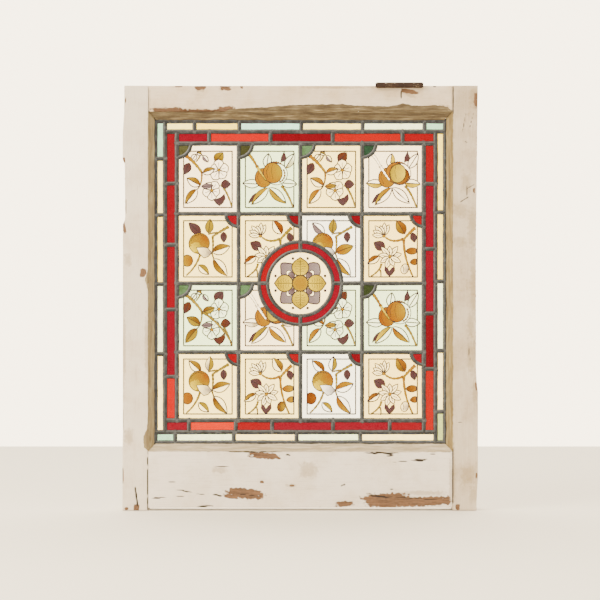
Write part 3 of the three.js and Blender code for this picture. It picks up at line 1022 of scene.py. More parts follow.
@dataclass
class PuttyWork:
    """All the putty, with the laps that creep over the timber's face."""

    side: Putty = Putty("linseed_putty_left", "#988966", "#7b6b4e", "#b0a380")
    # The top run is darker than the others as painted shade, as it faces down.
    shaded_head: Putty = Putty("linseed_putty_top_shaded", "#75674c", "#4b3e2d", "#a3916e", False)
    sill: Putty = Putty("linseed_putty_bottom", "#cabda6", "#a89a80", "#dcd3c3", False)
    warm: Putty = Putty("linseed_putty_right", "#a29063", "#826f48", "#b8a880")
    left_lap: tuple[Point, ...] = (
        (0, 0), (6, 7), (24, 8.5), (34, 3), (60, 0.2), (262, 0.2), (280, 6), (298, 1), (330, 0.2),
    )  # fmt: skip
    top_lap: tuple[Point, ...] = (
        (0, 0), (125, 0), (135, 5), (170, 7), (200, 8.5), (235, 12), (315, 13), (350, 10.5),
        (400, 9.5), (417, 15), (432, 11), (455, 10), (470, 12), (490, 8), (499, 2),
    )  # fmt: skip
    right_lap: tuple[Point, ...] = (
        (0, 1), (90, 1.5), (170, 0.4), (240, 0.2), (330, 1.5), (345, 0), (360, 1.2), (540, 1),
    )  # fmt: skip
    bottom_lap: tuple[Point, ...] = (
        (0, 1.5), (90, 2.5), (140, 1), (260, 1.5), (330, 0.5), (420, 0.5), (500, 1),
    )  # fmt: skip
    top_lumps: float = 1.1

    def build(self) -> None:
        """Builds the runs."""
        low_left, high_left, high_right, low_right = rebate_corners()
        side_bed = LAY.opening_half - LAY.edge_x - LAY.half_edge_came
        top_bed = LAY.opening_top - LAY.edge_top - LAY.half_edge_came
        low_bed = LAY.edge_bottom - LAY.half_edge_came - LAY.opening_bottom
        above = (self.shaded_head, self.top_lap, self.top_lumps)
        PuttyRun("putty_left", low_left, high_left, side_bed, self.side, self.left_lap).build()
        PuttyRun("putty_top", high_left, high_right, top_bed, *above).build()
        PuttyRun("putty_right", high_right, low_right, side_bed, self.warm, self.right_lap).build()
        PuttyRun("putty_bottom", low_right, low_left, low_bed, self.sill, self.bottom_lap).build()


# Borders


class Tint(Enum):
    """Colours of the glass, as sRGB hex values."""

    ROSE = "fff0cc"
    SEA = "dcf5c8"
    CREAM = "ffec9c"
    STRAW = "fce491"
    COOL = "fcfff6"
    ROUNDEL = "ffeeb4"
    BORDER_AQUA = "94c6a9"
    BORDER_STRAW = "ead45d"
    BORDER_WHITE = "e5f3ca"
    BORDER_ICE = "a2daca"
    BORDER_CREAM = "f0e389"
    BORDER_PEACH = "ffeea2"
    BORDER_LIME = "9daa6b"
    OLIVE = "373822"
    DARK_OLIVE = "2c2e19"
    SAGE = "3f5a3f"
    LEAF_GREEN = "1a3124"
    MOSS = "212a15"
    RUBY = "64000f"
    CRIMSON = "5f0015"
    DEEP = "54000c"
    SCARLET = "6c0008"
    VERMILION = "800500"
    ORANGE = "8f0500"
    SALMON = "a22100"


class Side(Enum):
    """Edges of a border strip."""

    LEFT = "left"
    RIGHT = "right"
    TOP = "top"
    BOTTOM = "bottom"


@dataclass(frozen=True)
class Strip:
    """One border strip, cut by short cames.

    Args:
        low: Lower left corner, on the centre lines.
        high: Upper right corner.
        upright: True where the strip stands.
        cuts: Where the short cames cross it, as shares from its top or left.
        tints: Colour of each glass.
        innermost: Which edge faces the middle.
    """

    low: Point
    high: Point
    upright: bool
    cuts: tuple[float, ...]
    tints: tuple[Tint, ...]
    innermost: Side

    def inner(self) -> tuple[Point, Point]:
        """Gives the long came along the strip's inner edge.

        Returns:
            Its two ends.
        """
        if self.innermost is Side.RIGHT:
            return (self.high[0], self.low[1]), self.high
        if self.innermost is Side.LEFT:
            return self.low, (self.low[0], self.high[1])
        if self.innermost is Side.BOTTOM:
            return self.low, (self.high[0], self.low[1])
        return (self.low[0], self.high[1]), self.high

    def crossings(self) -> list[tuple[Point, Point]]:
        """Gives the short cames.

        Returns:
            The two ends of each.
        """
        out = []
        for share in self.cuts:
            if self.upright:
                z = self.high[1] - share * (self.high[1] - self.low[1])
                out.append(((self.low[0], z), (self.high[0], z)))
            else:
                x = self.low[0] + share * (self.high[0] - self.low[0])
                out.append(((x, self.low[1]), (x, self.high[1])))
        return out

    def cells(self) -> list[tuple[Point, Point, Tint]]:
        """Gives each piece of glass.

        Returns:
            Lower left corner, upper right corner and colour of each.
        """
        marks = [0.0, *self.cuts, 1.0]
        out = []
        for tint, a, b in zip(self.tints, marks, marks[1:]):
            if self.upright:
                tall = self.high[1] - self.low[1]
                low, high = (self.low[0], self.high[1] - b * tall), (self.high[0], self.high[1] - a * tall)
            else:
                wide = self.high[0] - self.low[0]
                low, high = (self.low[0] + a * wide, self.low[1]), (self.low[0] + b * wide, self.high[1])
            out.append((low, high, tint))
        return out


G, R, E = LAY.grid_half, LAY.red_x, LAY.edge_x
AQUA, CREAMY, STRAWY = Tint.BORDER_AQUA, Tint.BORDER_CREAM, Tint.BORDER_STRAW
MILKY, ICE, PEACH, LIME = Tint.BORDER_WHITE, Tint.BORDER_ICE, Tint.BORDER_PEACH, Tint.BORDER_LIME
BORDERS: dict[str, dict[str, Strip]] = {
    "clear": {
        "left": Strip(
            (-E, LAY.red_bottom), (-R, LAY.edge_top), True, (0.121, 0.302, 0.524, 0.749),
            (AQUA, CREAMY, STRAWY, MILKY, PEACH), Side.RIGHT,
        ),
        "top": Strip(
            (-R, LAY.red_top), (E, LAY.edge_top), False, (0.105, 0.265, 0.486, 0.705, 0.926),
            (CREAMY, STRAWY, ICE, CREAMY, MILKY, AQUA), Side.BOTTOM,
        ),
        "right": Strip(
            (R, LAY.edge_bottom), (E, LAY.red_top), True, (0.259, 0.481, 0.704, 0.9),
            (STRAWY, STRAWY, MILKY, PEACH, LIME), Side.LEFT,
        ),
        "bottom": Strip(
            (-E, LAY.edge_bottom), (R, LAY.red_bottom), False, (0.071, 0.28, 0.504, 0.731),
            (AQUA, MILKY, PEACH, MILKY, PEACH), Side.TOP,
        ),
    },
    "red": {
        "left": Strip(
            (-R, LAY.grid_bottom), (-G, LAY.red_top), True, (0.18, 0.392, 0.616, 0.849),
            (Tint.RUBY, Tint.RUBY, Tint.RUBY, Tint.CRIMSON, Tint.ORANGE), Side.RIGHT,
        ),
        "top": Strip(
            (-G, LAY.grid_top), (R, LAY.red_top), False, (0.125, 0.362, 0.602, 0.872),
            (Tint.CRIMSON, Tint.ORANGE, Tint.DEEP, Tint.VERMILION, Tint.SCARLET), Side.BOTTOM,
        ),
        "right": Strip(
            (G, LAY.red_bottom), (R, LAY.grid_top), True, (0.14, 0.365, 0.589, 0.781),
            (Tint.SCARLET, Tint.CRIMSON, Tint.CRIMSON, Tint.DEEP, Tint.VERMILION), Side.LEFT,
        ),
        "bottom": Strip(
            (-R, LAY.red_bottom), (G, LAY.grid_bottom), False, (0.092, 0.273, 0.414, 0.649, 0.868),
            (Tint.CRIMSON, Tint.SALMON, Tint.SCARLET, Tint.CRIMSON, Tint.CRIMSON, Tint.RUBY), Side.TOP,
        ),
    },
}  # fmt: skip


@dataclass(frozen=True)
class Corner:
    """A quarter-circle corner piece.

    Args:
        row: Row of the quarry it belongs to.
        column: Column of the quarry.
        x: Crossing of the cames along X.
        z: Crossing of the cames along Z.
        side: 1 where the piece lies to the right of the crossing, else -1.
        radius: Radius of its came.
        tint: Its colour.
    """

    row: int
    column: int
    x: float
    z: float
    side: int
    radius: float
    tint: Tint


CORNER_TINTS = {
    (0, 0): Tint.OLIVE, (0, 1): Tint.DARK_OLIVE, (0, 2): Tint.SAGE, (0, 3): Tint.LEAF_GREEN,
    (2, 0): Tint.SAGE, (2, 1): Tint.SAGE, (2, 3): Tint.MOSS,
    (1, 0): Tint.RUBY, (1, 1): Tint.DEEP, (1, 2): Tint.DEEP, (1, 3): Tint.SCARLET,
    (3, 0): Tint.SCARLET, (3, 1): Tint.SCARLET, (3, 2): Tint.DEEP, (3, 3): Tint.RUBY,
}  # fmt: skip


def corners() -> list[Corner]:
    """Lists the corner pieces.

    Returns:
        The fifteen corners.
    """
    out = []
    for (row, column), tint in CORNER_TINTS.items():
        green = row % 2 == 0
        x = LAY.columns[column if green else column + 1]
        radius = LAY.green_radius if green else LAY.red_radius
        out.append(Corner(row, column, x, LAY.levels[row], 1 if green else -1, radius, tint))
    return out


# Lead


@dataclass
class LeadWork:
    """The cames, drawn as rounded H sections that wander a little, with soldered joints.

    Args:
        edge: Width of the edge cames over the flanges.
        border: Width of the long border cames.
        quarry: Width of the cames between quarries.
        short: Width of the short cames across the borders.
        curve: Width of the curved cames.
        overlap: How far the edge cames run past each other at the corners.
        step: Spacing of a straight came's sections.
        curve_step: Spacing of a curved came's sections.
        blob: Depth of a solder blob's foot from the panel's plane.
        made: The network.
    """

    edge: float = 8.2
    border: float = 7.5
    quarry: float = 7.0
    short: float = 7.0
    curve: float = 6.2
    overlap: float = 3.0
    step: float = 4.5
    curve_step: float = 3.2
    blob: float = 2.75
    made: Builder = field(default_factory=lambda: Builder("lead-cames"))

    def profile(self, width: float) -> list[tuple[float, float, float]]:
        """Draws a came's section, a full H.

        Args:
            width: Width over the flanges.

        Returns:
            Points as across, depth from the panel's plane, and how near the edge they are.
        """
        half, face, crown = width / 2, 1.8, 1.35
        front = []
        for i in range(9):
            u = -math.cos(i / 8 * math.pi)
            front.append((u * half, -face - crown * math.sqrt(max(0.0, 1 - u * u)) ** 0.8 - 0.12, abs(u)))
        back = [(-u, -y, e) for u, y, e in front]
        return front + [(0.8, -face, 1.0), (0.8, face, 1.0)] + back + [(-0.8, face, 1.0), (-0.8, -face, 1.0)]

    def sweep(self, width: float, path: list[Point], seed: float, loop: bool = False) -> None:
        """Sweeps a came along a path.

        Args:
            width: Width over the flanges.
            path: Points in the XZ plane.
            seed: Number that makes its wander its own.
            loop: True where the path closes.
        """
        rings = []
        for k, (x, z) in enumerate(path):
            a = path[k - 1] if k or loop else path[k]
            b = path[(k + 1) % len(path)] if k < len(path) - 1 or loop else path[k]
            tx, tz = b[0] - a[0], b[1] - a[1]
            size = math.hypot(tx, tz) or 1.0
            nx, nz = tz / size, -tx / size
            drift = 0.35 * wobble(x, seed, z, 34)
            left = 1 + 0.10 * wobble(x, seed + 3, z, 11) + 0.05 * wobble(x, seed + 9, z, 4)
            right = 1 + 0.10 * wobble(x, seed + 6, z, 11) + 0.05 * wobble(x, seed + 12, z, 4)
            lift = 0.22 * wobble(x, seed + 1, z, 9)
            patchy = 0.8 + 0.3 * wobble(x, seed, z, 15)
            # Painted highlight: the side of each came that faces the upper left is lightened.
            lit = (nz - nx) * 0.7
            ring = []
            for u, y, edge in self.profile(width):
                shine = max(0.0, lit * u / width * 2.6) * (1 - edge**3) * patchy
                across = u * (right if u > 0 else left) + (drift if abs(u) > 1 else drift * 0.3)
                rise = lift * (1 - edge) if y < -2 else 0.0
                place = (x + nx * across, LAY.panel + (y - rise), z + nz * across)
                ring.append(self.made.add(*place, edge=edge * edge, solder=shine))
            rings.append(ring)
        if loop:
            rings.append(rings[0])
        self.made.loft(rings, closed=not loop)

    def line(self, width: float, start: Point, end: Point, seed: float) -> None:
        """Lays a straight came."""
        count = max(3, round(math.dist(start, end) / self.step))
        self.sweep(width, [between(start, end, k / count) for k in range(count + 1)], seed)

    def arc(self, centre: Point, radius: float, start: float, end: float, seed: float) -> None:
        """Lays a curved came.

        Args:
            centre: Centre of the curve.
            radius: Radius of its centre line.
            start: Start in degrees from +X.
            end: End in degrees.
            seed: Number that makes its wander its own.
        """
        loop = abs(end - start) >= 360
        count = max(6, round(radius * math.radians(abs(end - start)) / self.curve_step))
        turns = [math.radians(start + (end - start) * k / count) for k in range(count if loop else count + 1)]
        self.sweep(self.curve, [around(*centre, radius, turn) for turn in turns], seed, loop)

    def joint(self, x: float, z: float, radius: float, seed: float) -> None:
        """Lays a flat blob of solder over a joint, on both sides.

        Args:
            x: Place along X.
            z: Place along Z.
            radius: Radius of the blob.
            seed: Number that makes its outline its own.
        """
        for back in (1, -1):
            rings = []
            for share, height in ((1.0, 0.0), (0.86, 0.45), (0.6, 0.75), (0.3, 0.9), (0.05, 0.95)):
                ring = []
                y = LAY.panel - (self.blob + height * 0.62) * back
                for k in range(14):
                    turn = k / 14 * math.tau * back
                    ragged = 1 + 0.22 * wobble(math.cos(turn) * 6, seed, math.sin(turn) * 6, 4)
                    px, pz = around(x, z, radius * share * ragged, turn)
                    ring.append(self.made.add(px, y, pz, edge=0.35 * share**4, solder=0.34 - 0.2 * share))
                rings.append(ring)
            self.made.loft(rings)

    def build(self) -> None:
        """Lays every came."""
        cols, rows, (cx, cz) = LAY.columns, LAY.levels, LAY.centre
        g, gt, gb = LAY.grid_half, LAY.grid_top, LAY.grid_bottom
        e, et, eb = LAY.edge_x, LAY.edge_top, LAY.edge_bottom
        past = self.overlap
        uprights = [((x, eb - past), (x, et + past)) for x in (-e, e)]
        levels = [((-e - past, z), (e + past, z)) for z in (et, eb)]
        for a, b in uprights + levels:
            self.line(self.edge, a, b, 1.0 + a[0] * 0.01)
        for strips in BORDERS.values():
            for strip in strips.values():
                self.line(self.border, *strip.inner(), seed=strip.low[0] * 0.02 + 4)
        for i, x in enumerate(cols[1:-1]):
            if abs(x - cx) < 1:
                self.line(self.quarry, (x, gb), (x, cz - LAY.ring), 20)
                self.line(self.quarry, (x, cz + LAY.ring), (x, gt), 21)
            else:
                self.line(self.quarry, (x, gb), (x, gt), 22 + i)
        for i, z in enumerate(rows[1:-1]):
            if abs(z - cz) < 1:
                self.line(self.quarry, (-g, z), (cx - LAY.ring, z), 30)
                self.line(self.quarry, (cx + LAY.ring, z), (g, z), 31)
            else:
                self.line(self.quarry, (-g, z), (g, z), 32 + i)
        self.arc((cx, cz), LAY.roundel, 0, 360, 40)
        self.arc((cx, cz), LAY.ring, 0, 360, 41)
        for dx, dz in ((0, 1), (1, 0), (0, -1), (-1, 0)):
            near, far = ((cx + dx * out, cz + dz * out) for out in (LAY.roundel, LAY.ring))
            self.line(self.quarry, near, far, 42 + dx + dz * 2)
            self.joint(*near, 3.6, 42 + dx)
            self.joint(*far, 4.4, 44 + dx)
        for i, corner in enumerate(corners()):
            start, end = (270, 360) if corner.side > 0 else (180, 270)
            self.arc((corner.x, corner.z), corner.radius, start, end, 50 + i)
            self.joint(corner.x + corner.side * corner.radius, corner.z, 3.4, 60 + i)
            self.joint(corner.x, corner.z - corner.radius, 3.4, 80 + i)
        for strips in BORDERS.values():
            for strip in strips.values():
                for i, (a, b) in enumerate(strip.crossings()):
                    self.line(self.short, a, b, 100 + i + a[0] * 0.01)
                    self.joint(*a, 4.0 + 0.5 * math.sin(i * 3), 101 + i)
                    self.joint(*b, 4.0 + 0.5 * math.cos(i * 2), 111 + i)
        for i, x in enumerate(cols):
            for j, z in enumerate(rows):
                if math.hypot(x - cx, z - cz) > 5:
                    self.joint(x, z, 4.7 + 0.4 * math.sin(i * 5 + j * 3), 120 + i * 5 + j)
        lead = self.made.finish(Lead().build(), "lead")
        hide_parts("lead_cames")


# Glass


@dataclass
class Figure:
    """A painted shape on a quarry, or a bare line where it has no fill.

    Args:
        outline: Points of the shape.
        fill: Colour at the far end of the shape, or None for a bare line.
        core: Colour at the shape's first point, or None for an even fill.
        line: Half width of the painted outline, or 0 for none.
        closed: True where the outline returns to its start.
    """

    outline: list[Point]
    fill: Colour | None = None
    core: Colour | None = None
    line: float = 0.66
    closed: bool = True

    def __post_init__(self) -> None:
        """Measures the shape."""
        xs, zs = [p[0] for p in self.outline], [p[1] for p in self.outline]
        self.box = (min(xs), min(zs), max(xs), max(zs))
        self.size = max(math.dist(self.outline[0], p) for p in self.outline) or 1.0

    def holds(self, x: float, z: float) -> bool:
        """Tells whether a place lies inside.

        Args:
            x: Place along X.
            z: Place along Z.

        Returns:
            True inside the outline.
        """
        if not (self.box[0] <= x <= self.box[2] and self.box[1] <= z <= self.box[3]):
            return False
        inside = False
        points = self.outline
        for (x0, z0), (x1, z1) in zip(points, points[1:] + points[:1]):
            if (z0 > z) != (z1 > z) and x < (x1 - x0) * (z - z0) / (z1 - z0) + x0:
                inside = not inside
        return inside

    def tone(self, x: float, z: float) -> Colour:
        """Finds the paint's colour at a place.

        Args:
            x: Place along X.
            z: Place along Z.

        Returns:
            The colour.
        """
        if self.core is None:
            return self.fill
        share = math.dist(self.outline[0], (x, z)) / self.size + 0.18 * wobble(x, 2, z, 4)
        return mixed(self.core, self.fill, min(1.0, max(0.0, share)))

    def moved(self, x: float, z: float) -> "Figure":
        """Moves the shape."""
        return Figure([(a + x, b + z) for a, b in self.outline], self.fill, self.core, self.line, self.closed)


def mixed(a: Colour, b: Colour, share: float) -> Colour:
    """Mixes two colours."""
    return tuple(p + (q - p) * share for p, q in zip(a, b))


def ellipse(x: float, z: float, a: float, b: float, turn: float = 0.0, count: int = 26) -> list[Point]:
    """Draws an ellipse.

    Args:
        x: Middle along X.
        z: Middle along Z.
        a: Half length.
        b: Half width.
        turn: Turn in degrees.
        count: Number of points.

    Returns:
        Its outline.
    """
    c, s = math.cos(math.radians(turn)), math.sin(math.radians(turn))
    out = []
    for k in range(count):
        t = k / count * math.tau
        u, v = a * math.cos(t), b * math.sin(t)
        out.append((x + u * c - v * s, z + u * s + v * c))
    return out


def blade(
    base: Point, tip: Point, width: float, bulge: float = 0.85, sides: tuple[int, ...] = (1, -1)
) -> list[Point]:
    """Draws a leaf or petal, or one half of it.

    Args:
        base: Where it grows from.
        tip: Its far end.
        width: Full width.
        bulge: Where it is widest: under 1 near the base, over 1 near the tip.
        sides: 1 for the left half, -1 for the right half.

    Returns:
        Its outline, starting at the base.
    """
    dx, dz = tip[0] - base[0], tip[1] - base[1]
    length = math.hypot(dx, dz)
    cx, cz = dx / length, dz / length
    halves = []
    for side in sides:
        row = []
        for k in range(11):
            t = k / 10
            v = side * width / 2 * math.sin(math.pi * t**bulge) ** 0.9
            row.append((base[0] + cx * length * t - cz * v, base[1] + cz * length * t + cx * v))
        halves.append(row)
    if len(halves) == 1:
        return halves[0]
    return halves[0] + halves[1][-2:0:-1]


def leaf(base: Point, tip: Point, width: float, left: Paint, right: Paint) -> list[Figure]:
    """Draws a leaf whose two halves are painted apart, with its midrib.

    Args:
        base: Where it grows from.
        tip: Its point.
        width: Full width.
        left: Paint of the left half, seen from base to tip.
        right: Paint of the right half.

    Returns:
        Its figures.
    """
    out = []
    for side, paint in ((1, left), (-1, right)):
        outline = 0.85 if paint is CLEAR else 0.55
        out.append(Figure(blade(base, tip, width, sides=(side,)), paint[1], paint[0], outline))
    return out


def stem(points: tuple[Point, Point, Point], width: float, paint: Paint) -> Figure:
    """Draws a tapering stem along a smooth path.

    Args:
        points: Start, control point and end.
        width: Width at the start.
        paint: Its paint.

    Returns:
        The figure.
    """
    (x0, z0), (x1, z1), (x2, z2) = points
    left, right = [], []
    for k in range(15):
        t = k / 14
        x = (1 - t) ** 2 * x0 + 2 * t * (1 - t) * x1 + t * t * x2
        z = (1 - t) ** 2 * z0 + 2 * t * (1 - t) * z1 + t * t * z2
        dx = 2 * (1 - t) * (x1 - x0) + 2 * t * (x2 - x1)
        dz = 2 * (1 - t) * (z1 - z0) + 2 * t * (z2 - z1)
        size = math.hypot(dx, dz) or 1
        half = width / 2 * (1 - 0.45 * t) * (1 + 0.25 * math.sin(k * 2.1))
        left.append((x - dz / size * half, z + dx / size * half))
        right.append((x + dz / size * half, z - dx / size * half))
    return Figure(left + right[::-1], paint[1], paint[0], 0.42)


def flower(
    x: float, z: float, size: float, petals: int, turn: float, width: float, bulge: float, spread: float = 360
) -> list[Figure]:
    """Draws a flower with clear petals and a yellow eye.

    Args:
        x: Middle along X.
        z: Middle along Z.
        size: Length of a petal.
        petals: Number of petals.
        turn: Direction of the first petal in degrees.
        width: Width of a petal as a share of its length.
        bulge: Where the petals are widest.
        spread: Angle that the petals fill.

    Returns:
        Its figures.
    """
    out = []
    for k in range(petals):
        at = math.radians(turn + spread * k / (petals if spread >= 360 else petals - 1))
        length = size * (1 + 0.12 * math.sin(k * 2.4))
        near, far, tip = (around(x, z, length * share, at) for share in (0.28, 0.72, 1))
        out.append(Figure(blade((x, z), tip, size * width, bulge), CLEAR[1], CLEAR[0], 0.8))
        out.append(stroke([near, far], 0.5))
    out.append(Figure(ellipse(x, z, 2.7, 2.4, count=12), YELLOW, AMBER, 0.36))
    return out


LINE = linear("#2b2224")
WHITE = linear("#fffef8")
YELLOW = linear("#836900")
LEMON = linear("#816e00")
BUTTER = linear("#b4a01c")
AMBER = linear("#784e00")
ORANGE = linear("#6c3a00")
RUST = linear("#4b2608")
MAUVE = linear("#3d211f")
DUSK = linear("#3d2c30")
GREY = linear("#5f5256")
OLIVE = linear("#6b590e")
TWIG = linear("#857224")
CLEAR = (WHITE, WHITE)
GOLD_LEAF = (RUST, YELLOW)
OLIVE_LEAF = (OLIVE, LEMON)
MAUVE_LEAF = (MAUVE, DUSK)
RUST_LEAF = (RUST, AMBER)
GREY_LEAF = (GREY, GREY)
GOLD_TWIG = (AMBER, YELLOW)
GREEN_TWIG = (OLIVE, TWIG)


@dataclass(frozen=True)
class Palette:
    """Paints of one quarry's leaves and fruit.

    Args:
        first: Paint of the main leaves.
        second: Paint of the other halves.
        third: Paint of the dark leaves.
        fourth: Paint of one leaf that differs.
        fruit: Paint of the fruit or the twigs.
        side: Paint of the leaf, or half leaf, beside the main ones.
        top: Paint of the upper leaf's left half.
        back: Paint of the far half of the leaf behind the fruit.
        twig: Paint of the upper twig.
    """

    first: Paint
    second: Paint
    third: Paint
    fourth: Paint
    fruit: Paint
    side: Paint = CLEAR
    top: Paint = CLEAR
    back: Paint = CLEAR
    twig: Paint = GREEN_TWIG


def stroke(points: list[Point], half: float = 0.55) -> Figure:
    """Draws a thin painted line."""
    return Figure(points, None, None, half, False)


def blossom(p: Palette) -> list[Figure]:
    """Draws a spray of blossom that grows from the upper left.

    Args:
        p: Its paints.

    Returns:
        The figures, from back to front.
    """
    pointed = [
        (27.5, -25), (28.7, -33), (25, -40), (19.5, -44.5), (13.5, -40.5), (9, -34), (15, -33.5), (21.5, -31),
    ]  # fmt: skip
    out = [
        stem(((22, -10), (33, -22), (39.5, -46)), 3.2, GREEN_TWIG),
        stem(((-12, 46), (-10, 38), (-19, 28)), 2.4, GREEN_TWIG),
        stem(((-10.5, 12), (-8, 0), (-13, -12)), 2.6, p.fruit),
        stem(((-13, -11), (-14, -15), (-18, -18)), 1.8, GREEN_TWIG),
        *leaf((-30, 26), (-38.5, 7), 13, p.third, p.third),
        *leaf((-12.5, -11.5), (-34.5, 1), 15, p.second, p.first),
        *leaf((-17.5, -17.5), (-37, -41.5), 15, p.second, p.first),
        *leaf((12, 28), (25.5, 43), 16, p.fourth, p.fourth),
        *leaf((22, -9), (38, -9), 14, p.third, p.third),
        *flower(18.5, 14, 16.5, 5, 20, 0.95, 1.7),
        *flower(6.5, -19.5, 15.5, 5, 200, 0.95, 1.7),
        Figure(pointed, p.third[1], p.third[0]),
        *leaf((-10.5, -13), (9.5, -11.5), 8, p.side, p.side),
        *leaf((-8.5, 9), (12, 16.5), 12, p.first, p.second),
        *leaf((-8, 38), (1, 27), 8, CLEAR, GREY_LEAF),
        *leaf((-19, 40), (-27, 29), 9, CLEAR, CLEAR),
        *leaf((-18, 43), (-9, 39), 6, OLIVE_LEAF, CLEAR),
        stem(((-36, 38), (-22, 28), (-10, 11)), 5.4, p.fruit),
    ]
    if p.fruit is GREEN_TWIG:
        out.append(stem(((-8, 9), (20, -8), (38.5, -40)), 3.6, GREEN_TWIG))
    return out


def pomegranate(p: Palette) -> list[Figure]:
    """Draws a split fruit among pointed leaves, on a stem from the upper left.

    Args:
        p: Its paints.

    Returns:
        The figures, from back to front.
    """
    spike = [(24, 44), (26.3, 38), (28.8, 32), (24, 29), (18.5, 27), (19.5, 35), (22, 40)]
    shade = [(-22.5, -24), (-25, -34), (-34.5, -41), (-31.5, -33.5), (-27.5, -27.5)]
    out = [
        stem(((20, -12), (30, -22), (38.8, -47)), 3.6, GREEN_TWIG),
        *leaf((-5, 18), (-1.5, 41.5), 14, p.second, p.fourth),
        Figure(spike, p.third[0], p.third[1]),
        *leaf((26, 17), (41.5, 41.5), 14, p.second, p.top),
        *leaf((19, -7), (45.5, -9), 14, p.second, p.fourth),
        *leaf((-16, -9), (-44.5, -7.5), 14, p.fourth, p.second),
        Figure(shade, p.third[0], p.third[1]),
        *leaf((-2, -15), (-30, -43), 15, CLEAR, p.first),
        *leaf((-0.5, -15), (27.5, -41), 16, CLEAR, p.side),
        Figure(ellipse(-9.7, 1.5, 14, 16), p.fruit[1], mixed(p.fruit[0], p.fruit[1], 0.4)),
    ]
    for k in range(8):
        bead = around(8.5, 8.7, 18.2, math.radians(34 + 12 * k))
        out.append(Figure(ellipse(*bead, 1.9, 1.9, count=8), RUST, AMBER, 0.3))
    out.append(Figure(ellipse(11.5, 7.5, 18.2, 17.6, 20), CLEAR[0], CLEAR[0]))
    if p.fourth is CLEAR:
        out.append(Figure(ellipse(5.5, 9.5, 15.5, 17.0, 20), p.fruit[1], p.fruit[0]))
        seeds, reach = (-62, -44, -26, -8, 10, 28), 13.8
    else:
        out.append(Figure(ellipse(4.5, 9.5, 15.8, 17.0, 20), p.fruit[1], p.fruit[1]))
        out.append(Figure(ellipse(13, 4, 14.4, 12.6, 40), AMBER, RUST))
        out.append(Figure(ellipse(8, 8.5, 13.2, 15.4, -14), LEMON, BUTTER))
        seeds, reach = (-70, -56, -42, -28, -14), 16.2
    for turn in seeds:
        seed = around(11.5, 7, reach, math.radians(turn))
        out.append(Figure(ellipse(*seed, 1.9, 1.2, turn + 90, 8), RUST, AMBER, 0.4))
    out.append(stroke([(-1, 22), (-5, 12), (-3, 1)], 0.4))
    out.append(stroke([(5, 23), (3, 12), (6, 0)], 0.3))
    out.append(stroke([(-17, 12), (-20, 2), (-15, -9)], 0.3))
    twig = p.fruit if p.fourth is CLEAR else CLEAR
    pale = (BUTTER, LEMON) if p.fourth is CLEAR else CLEAR
    out.append(stem(((-21, 21), (-14, 9), (-5.5, -2.5)), 4.6, pale))
    out.append(stem(((-34, 40), (-27, 33), (-20, 19)), 4.8, twig))
    return out


def orange(p: Palette) -> list[Figure]:
    """Draws a round fruit with leaves, on a stem from the upper right.

    Args:
        p: Its paints.

    Returns:
        The figures, from back to front.
    """
    half_fruit = [(max(-40.0, x), z) for x, z in ellipse(-33.5, -20, 9, 9.5)]
    out = [
        stem(((8, 20), (10, 4), (7, -8)), 3.0, GREEN_TWIG),
        stem(((7, -8), (9, -14), (11, -20)), 2.0, GREEN_TWIG),
        stem(((-12, -8), (-18, -30), (-35, -44)), 3.0, GREEN_TWIG),
        *leaf((-11.5, 24), (-31, 42.5), 15, p.fourth, p.back),
        *leaf((1.5, 25), (4.2, 49), 13.5, p.top, p.second),
        *leaf((26, 27.5), (26.5, 10), 10.5, p.third, p.third),
        *leaf((7.5, -6), (37, 4.3), 17, p.first, p.side),
        *leaf((9.5, -16.5), (32, -45), 17, CLEAR, p.first),
        *leaf((-15, -27), (2, -42.5), 13, p.second, CLEAR),
        Figure(half_fruit, p.fruit[1], p.fruit[0]),
        Figure(ellipse(-14, 8.5, 17.3, 16.8, 40), LEMON, p.fruit[0]),
        Figure(ellipse(-20, 2, 8.5, 8, 40, 16), BUTTER, LEMON, 0),
    ]
    for k in range(10):
        dot = around(-14, 8.5, 14.2, math.radians(62 + 11 * k))
        out.append(Figure(ellipse(*dot, 0.8, 0.8, count=6), RUST, None, 0.25))
    calyx = [
        (6.5, -6.5), (0, 1), (-8, 2.4), (-18.5, 1.5), (-14, -8), (-6.5, -15.5), (0.5, -13.5), (4.5, -9.5),
    ]  # fmt: skip
    return out + [
        Figure(calyx, CLEAR[0], GREY),
        stem(((34.5, 36), (20, 28), (7, 19)), 4.2, p.twig),
        stem(((16, 26), (8, 26), (1, 23.5)), 2.6, p.twig),
    ]


